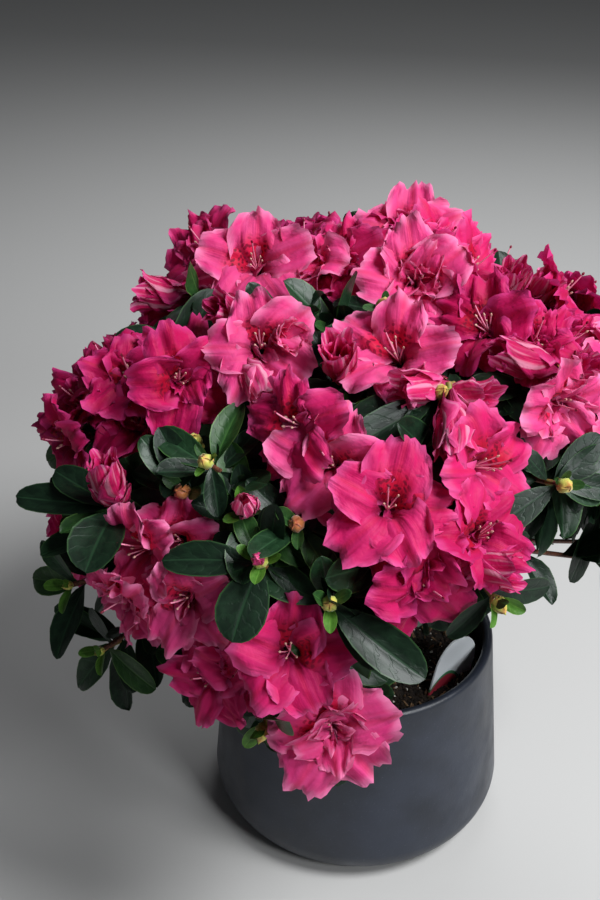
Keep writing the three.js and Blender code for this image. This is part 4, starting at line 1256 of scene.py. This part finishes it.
def pot_outline():
    """The pot's whole section, from the middle of its underside round the lip to the middle of its floor."""
    def corner(inset):
        turns = np.linspace(0, math.pi / 2, 14)
        size, belly = FOOT_CORNER - inset, BELLY_RADIUS - inset
        floor = POT_FLOOR if inset else 0
        return [(belly - size + size * math.sin(a), floor + size - size * math.cos(a)) for a in turns]

    lip = POT_WALL / 2
    outline = [(0, 0), *corner(0)]
    # The wall draws in a little from its belly to its shoulder, and again to the rim.
    for share in (0.25, 0.5, 0.75, 1):
        height = FOOT_CORNER + (SHOULDER_HEIGHT - FOOT_CORNER) * share
        outline.append((BELLY_RADIUS + (SHOULDER_RADIUS - BELLY_RADIUS) * share, height))
    for share in (0.25, 0.5, 0.75):
        height = SHOULDER_HEIGHT + (POT_HEIGHT - lip - SHOULDER_HEIGHT) * share
        outline.append((SHOULDER_RADIUS + (RIM_RADIUS - SHOULDER_RADIUS) * share, height))
    for turn in np.linspace(0, math.pi, 9):
        outline.append((RIM_RADIUS - lip + lip * math.cos(turn), POT_HEIGHT - lip + lip * math.sin(turn)))
    outline.append((SHOULDER_RADIUS - POT_WALL, SHOULDER_HEIGHT))
    return outline + corner(POT_WALL)[::-1] + [(0, POT_FLOOR)]


def crumb_tree():
    """Crumbs strewn over a surface, leaning every way."""
    tree, start = new_tree("crumbs_on_compost", {
        "Forms": "Collection", "Material": "Material", "Number": "Float", "Apart": "Float", "Seed": "Int",
        "Small": "Float", "Large": "Float",
    })
    count = {2: start["Apart"], 3: start["Number"], 6: start["Seed"]}
    strewn = add(tree, "GeometryNodeDistributePointsOnFaces", start["Geometry"], more=count,
                 distribute_method="POISSON")
    forms = add(tree, "GeometryNodeCollectionInfo", start["Forms"], True, True)
    turns = {0: (0, 0, 0), 1: (6.3, 6.3, 6.3), 8: start["Seed"]}
    turn = add(tree, "FunctionNodeRandomValue", more=turns, data_type="FLOAT_VECTOR")
    sizes = {2: start["Small"], 3: start["Large"], 8: start["Seed"]}
    size = add(tree, "FunctionNodeRandomValue", more=sizes, out=1, data_type="FLOAT")
    kinds = {4: 0, 5: 3, 8: start["Seed"]}
    which = add(tree, "FunctionNodeRandomValue", more=kinds, out=2, data_type="INT")
    chosen = {2: forms, 3: True, 4: which, 5: turn, 6: size}
    crumbs = add(tree, "GeometryNodeInstanceOnPoints", strewn, more=chosen)
    return close_tree(tree, crumbs, start["Material"])


def crumb_form(name, seed, long, flat):
    """A rough crumb: a lumpy ball, drawn out and pressed."""
    roll = dice(seed)
    points, faces = [], []
    rings, sides = 4, 6
    for i in range(rings + 1):
        for j in range(sides):
            turn, up = 2 * math.pi * j / sides, math.pi * (i + 0.35) / (rings + 0.7) - math.pi / 2
            reach = between(roll, 0.75, 1.15)
            x, y = math.cos(up) * math.cos(turn), math.cos(up) * math.sin(turn)
            points.append((long * reach * x, reach * y, flat * reach * math.sin(up)))
    for i in range(rings):
        for j in range(sides):
            a, b = i * sides + j, i * sides + (j + 1) % sides
            faces.append((a, b, b + sides, a + sides))
    faces.append(tuple(range(sides))[::-1])
    faces.append(tuple(rings * sides + j for j in range(sides)))
    return mesh_of(name, points, faces, smooth=False, metres=True)


def gathered(name, meshes):
    """Forms for a growth tree, kept out of the scene."""
    group = bpy.data.collections.new(name)
    for mesh in meshes:
        group.objects.link(bpy.data.objects.new(mesh.name, mesh))
    return group


def compost_height(x, y):
    """Lumps of the compost's top, lower at the wall and heaped a little round the stem."""
    far = math.hypot(x, y)
    lump = 2.0 * noise.noise(Vector((x * 0.055, y * 0.055, 2)))
    lump += 1.1 * noise.noise(Vector((x * 0.16, y * 0.16, 7)))
    lump += 0.55 * noise.noise(Vector((x * 0.4, y * 0.4, 4)))
    near = min(far / 22, 1)
    return COMPOST_LEVEL + lump * near - 1.2 * max(far / 76, 0) ** 4


def compost_mesh(material):
    rings, sides = 44, 120
    points, faces = [(0, 0, compost_height(0, 0))], []
    inner = RIM_RADIUS - POT_WALL + (SHOULDER_RADIUS - RIM_RADIUS) * 24 / 50
    for i in range(1, rings + 1):
        radius = (inner - 0.4) * i / rings
        for j in range(sides):
            x, y = radius * math.cos(2 * math.pi * j / sides), radius * math.sin(2 * math.pi * j / sides)
            points.append((x, y, compost_height(x, y)))
    belly = BELLY_RADIUS - POT_WALL
    for radius, height in ((inner + 1.5, 80), (belly - 1.2, 34), (belly - 16, 10)):
        for j in range(sides):
            turn = 2 * math.pi * j / sides
            points.append((radius * math.cos(turn), radius * math.sin(turn), height))
    for j in range(sides):
        k = (j + 1) % sides
        faces.append((0, 1 + j, 1 + k))
        for i in range(rings + 2):
            a = 1 + i * sides
            faces.append((a + j, a + sides + j, a + sides + k, a + k))
        last = 1 + (rings + 2) * sides
        faces.append((len(points), last + k, last + j))
    points.append((0, 0, 10))
    return mesh_of("compost_body", points, faces, material=material)


def compost_top():
    """The open top alone, where crumbs may lie."""
    rings, sides = 20, 60
    points, faces = [], []
    for i in range(rings + 1):
        radius = 12 + 66 * i / rings
        for j in range(sides):
            x, y = radius * math.cos(2 * math.pi * j / sides), radius * math.sin(2 * math.pi * j / sides)
            points.append((x, y, compost_height(x, y)))
    for i in range(rings):
        for j in range(sides):
            a, b = i * sides + j, i * sides + (j + 1) % sides
            faces.append((a, a + sides, b + sides, b))
    return mesh_of("compost_top", points, faces)


def label_mesh(material):
    """The card: a rounded head, a pushed-in point, 1 mm thick, with a slight curl."""
    half, long, thick = LABEL["width"] / 2, LABEL["length"], LABEL["thick"]
    card = (
        Matrix.Translation((LABEL["across"], LABEL["forward"], COMPOST_LEVEL - long * 0.5))
        @ Matrix.Rotation(math.radians(LABEL["turn"]), 4, "Z")
        @ Matrix.Rotation(math.radians(90 - LABEL["lean"]), 4, "X")
        @ Matrix.Rotation(math.radians(LABEL["tilt"]), 4, "Z")
    )
    rows, columns = 40, 12
    points, uvs, faces = [], [], []
    for side in (0, 1):
        for i in range(rows + 1):
            y = long * i / rows
            if y > long - half:
                wide = math.sqrt(max(half**2 - (y - long + half) ** 2, 0.02))
            else:
                wide = half * min(1, max(y, 0.15) / half)
            for j in range(columns + 1):
                x = wide * (2 * j / columns - 1)
                curl = 0.0022 * x * x
                points.append(card @ Vector((x, y, (thick / 2 if side else -thick / 2) + curl - 0.2)))
                uvs.append((0.5 + x / (2 * half), y / long))
    count = (rows + 1) * (columns + 1)
    for i in range(rows):
        for j in range(columns):
            a = i * (columns + 1) + j
            b = a + columns + 1
            faces.append((a, b, b + 1, a + 1))
            faces.append((count + a, count + a + 1, count + b + 1, count + b))
    rim = [i * (columns + 1) for i in range(rows + 1)]
    rim += [rows * (columns + 1) + j for j in range(1, columns + 1)]
    rim += [i * (columns + 1) + columns for i in range(rows - 1, -1, -1)]
    rim += list(range(columns - 1, 0, -1))
    for a, b in zip(rim, rim[1:] + rim[:1]):
        faces.append((b, a, count + a, count + b))
    return mesh_of("plant_card", points, faces, uvs, smooth=False, material=material)


boughs = grow_crown()
MASS_NODES = [f"mass_{name}" for name in MASSES]
TINT_COLOURS = {
    "rose": ("#8C0638", "#D41C68", "#E860A4", "#C80A30", "#F3BCD8"),
    "cerise": ("#7C0434", "#C20E58", "#D84490", "#B00628", "#EFB4CE"),
    # pink is the palest tint: a real paler tone where it is dealt at random, and painted light on the lit blooms that
    # the notes give it to.
    "pink": ("#980A46", "#E43E86", "#F796C4", "#D4103A", "#F8D2E4"),
}


def keep(piece, slot, *nodes):
    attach(piece, "root")
    if nodes:
        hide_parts(*nodes)
    return piece


for tint in TINTS:
    material = petal_material(f"azalea_petal_{tint}", *TINT_COLOURS[tint])
    rows = petals[tint]
    for part, first in enumerate(range(0, len(rows), PETALS_TO_A_PIECE)):
        sheet = grow_sheets(rows[first : first + PETALS_TO_A_PIECE], 17, 14)
        keep(place(mesh_of(f"petals_{tint}_{part}", *sheet, material=material)), "foliage", *MASS_NODES)
    sheet = grow_sheets(petaloids[tint], 7, 9)
    keep(place(mesh_of(f"petaloids_{tint}", *sheet, material=material)), "foliage", *MASS_NODES)

scale_colours = {
    "calyx": ("#7C9B3A", "#A07A34", "#B4532A"),
    "bud": ("#8FAE3C", "#B9BE52", "#C98A4A"),
    "brown": ("#9AA040", "#B9703A", "#A04A2C"),
}
for kind, codes in scale_colours.items():
    material = scale_material(f"bud_scales_{kind}", *codes)
    piece = place(mesh_of(f"scales_{kind}", *grow_sheets(bracts[kind], 5, 7), material=material))
    keep(piece, "foliage", *MASS_NODES)

leaf_materials = {
    "dark": leaf_material("azalea_leaf_dark", "#0E1C13", "#243F2A", "#3A5C34", 0.38, 0.08),
    "deep": leaf_material("azalea_leaf_deep", "#142C19", "#2F5034", "#4C763A", 0.38, 0.08),
    "mid": leaf_material("azalea_leaf_mid", "#20401E", "#406832", "#668F46", 0.38, 0.1),
    "young": leaf_material("azalea_leaf_young", "#3E6A22", "#64903A", "#88B054", 0.38, 0.2),
}
leaf_forms = gathered("leaf_forms", [leaf_form(k) for k in range(8)])
leaf_growth = leaf_tree()
for kind, entries in leaves.items():
    sizes = {"Forms": leaf_forms, "Material": leaf_materials[kind]}
    piece = settle(leaves_host(entries), leaf_growth, f"leaves_{kind}", **sizes)
    keep(piece, "foliage", *MASS_NODES)

stems = tube_tree()
strand_looks = {
    "twig": (
        grained_material("young_azalea_bark", "#3B1E16", "#7A4630", 700.0, 0.6, 0.0003), 6, 0.0003, 500.0,
    ),
    "bud": (grained_material("leaf_bud_green", "#8FAE3C", "#B9BE52", 300.0, 0.5), 8, 0.0, 1.0),
    "brown": (grained_material("leaf_bud_brown", "#A8703A", "#B9703A", 300.0, 0.5), 8, 0.0, 1.0),
    "green": (grained_material("green_flower_stalk", "#6B7A33", "#9A6A3C", 500.0, 0.55), 6, 0.0001, 400.0),
    "filament": (plain_material("stamen_thread", "#E88AA8", 0.5), 5, 0.0, 1.0),
    "anther": (plain_material("anther_tip", "#C4968A", 0.6), 5, 0.0, 1.0),
    "stigma": (plain_material("stigma_tip", "#7E1030", 0.4), 6, 0.0, 1.0),
}
for kind, (material, sides, relief, grain) in strand_looks.items():
    sizes = {"Sides": sides, "Relief": relief, "Grain": grain, "Material": material}
    piece = settle(lines_host(strands[kind]), stems, f"strands_{kind}", **sizes)
    keep(piece, "foliage", *MASS_NODES)

# Trunk and boughs, with the bark's relief.
limb_lines = []
for name, line in boughs.items():
    shares = np.linspace(0, 1, 26)
    if name == "stem":
        girth = stem_radius(shares)
    else:
        foot = BOUGH["main_foot" if MASSES[name]["from"] == "stem" else "side_foot"]
        girth = foot + (BOUGH["tip"] - foot) * shares
    limb_lines.append((line.at(shares), girth))
bark = grained_material("azalea_bark", "#3A241A", "#8A6A50", 160.0, 0.8, 0.001, stretch=(1, 1, 0.35))
sizes = {"Sides": 20, "Relief": 0.0018, "Grain": 170.0, "Material": bark}
limbs = settle(lines_host(limb_lines), stems, "trunk_and_boughs", **sizes)
keep(limbs, "bark", "stem", *[f"bough_{name}" for name in MASSES])

# Pot, compost and card.
section = pot_outline()
host = lines_host([([np.array([r - 1, -z, 0]) for r, z in section], np.ones(len(section)))])
pot = settle(host, pot_tree(), "glazed_pot", Sides=128, Material=pot_material())
keep(pot, "ceramic", "pot")

peat = grained_material("moist_peat", "#0D0A08", "#2B2119", 420.0, 0.95, 0.001)
compost = keep(place(compost_mesh(peat)), "compost", "compost")
# For each kind of crumb: its form's name, seed, length and flatness, its material, and how it is strewn:
# how many to a square metre, how far apart at least, a seed, and the smallest and largest in metres.
crumbs = {
    "peat_crumbs": (
        ("peat_form", 80, 1.3, 0.7), grained_material("peat_crumb", "#14100C", "#3A2C20", 300.0, 0.95),
        {"Number": 220000.0, "Apart": 0.00096, "Seed": 3, "Small": 0.0006, "Large": 0.0017},
    ),
    "bark_bits": (
        ("bark_form", 90, 2.6, 0.5), grained_material("bark_bit", "#4A3524", "#9A7A58", 240.0, 0.85),
        {"Number": 26000.0, "Apart": 0.003, "Seed": 5, "Small": 0.0008, "Large": 0.0021},
    ),
    "perlite_grains": (
        ("perlite_form", 70, 1.1, 0.9), plain_material("perlite_grain", "#D8D6CC", 0.8),
        {"Number": 14000.0, "Apart": 0.004, "Seed": 9, "Small": 0.0006, "Large": 0.0013},
    ),
}
crumb_growth = crumb_tree()
for name, ((form, seed, long, flat), material, sizes) in crumbs.items():
    forms = gathered(f"{form}s", [crumb_form(f"{form}_{k}", seed + k, long, flat) for k in range(4)])
    top = place(compost_top())
    keep(settle(top, crumb_growth, name, Forms=forms, Material=material, **sizes), "compost")

card = place(label_mesh(label_material()))
keep(card, "card", "plant_label")

for group in ("leaf_forms", "peat_forms", "bark_forms", "perlite_forms"):
    forms = bpy.data.collections[group]
    for form in list(forms.objects):
        bpy.data.objects.remove(form)
    bpy.data.collections.remove(forms)

# The ground it stands on, the light, and the camera at the photo's angle.
floor = place(mesh_of("pale_floor", [(-6, -6, 0), (6, -6, 0), (6, 6, 0), (-6, 6, 0)], [(0, 1, 2, 3)],
                      material=plain_material("pale_ground", "#B9B8B6", 0.9), smooth=False, metres=True))


def soft_light(name, spot, towards, size, power, tint):
    lamp = bpy.data.lights.new(name, "AREA")
    lamp.shape, lamp.size, lamp.energy, lamp.color = "DISK", size, power, tint
    holder = bpy.data.objects.new(name, lamp)
    holder.location = spot
    holder.rotation_euler = (Vector(towards) - Vector(spot)).to_track_quat("-Z", "Y").to_euler()
    bpy.context.scene.collection.objects.link(holder)


soft_light("main_light", (0.85, -0.42, 1.5), (0, 0, 0.25), 0.7, 34, (0.96, 0.98, 1.0))
soft_light("side_light", (0.75, -0.95, 0.95), (0.05, 0, 0.15), 0.35, 8, (0.94, 0.97, 1.0))
soft_light("back_light", (0.3, 1.2, 1.3), (0, 0, 0.3), 0.9, 9, (0.95, 0.97, 1.0))
world = bpy.data.worlds.new("studio")
world.use_nodes = True
world.node_tree.nodes["Background"].inputs[0].default_value = (0.8, 0.84, 0.9, 1)
world.node_tree.nodes["Background"].inputs[1].default_value = 0.058
bpy.context.scene.world = world

lens = bpy.data.cameras.new("photo_view")
lens.lens, lens.sensor_width = 46, 36
viewer = bpy.data.objects.new("photo_view", lens)
viewer.location = (-0.038, -0.575, 0.605)
viewer.rotation_euler = (math.radians(90 - 31), 0, 0)
bpy.context.scene.collection.objects.link(viewer)
bpy.context.scene.camera = viewer
bpy.context.scene.view_settings.view_transform = "Standard"
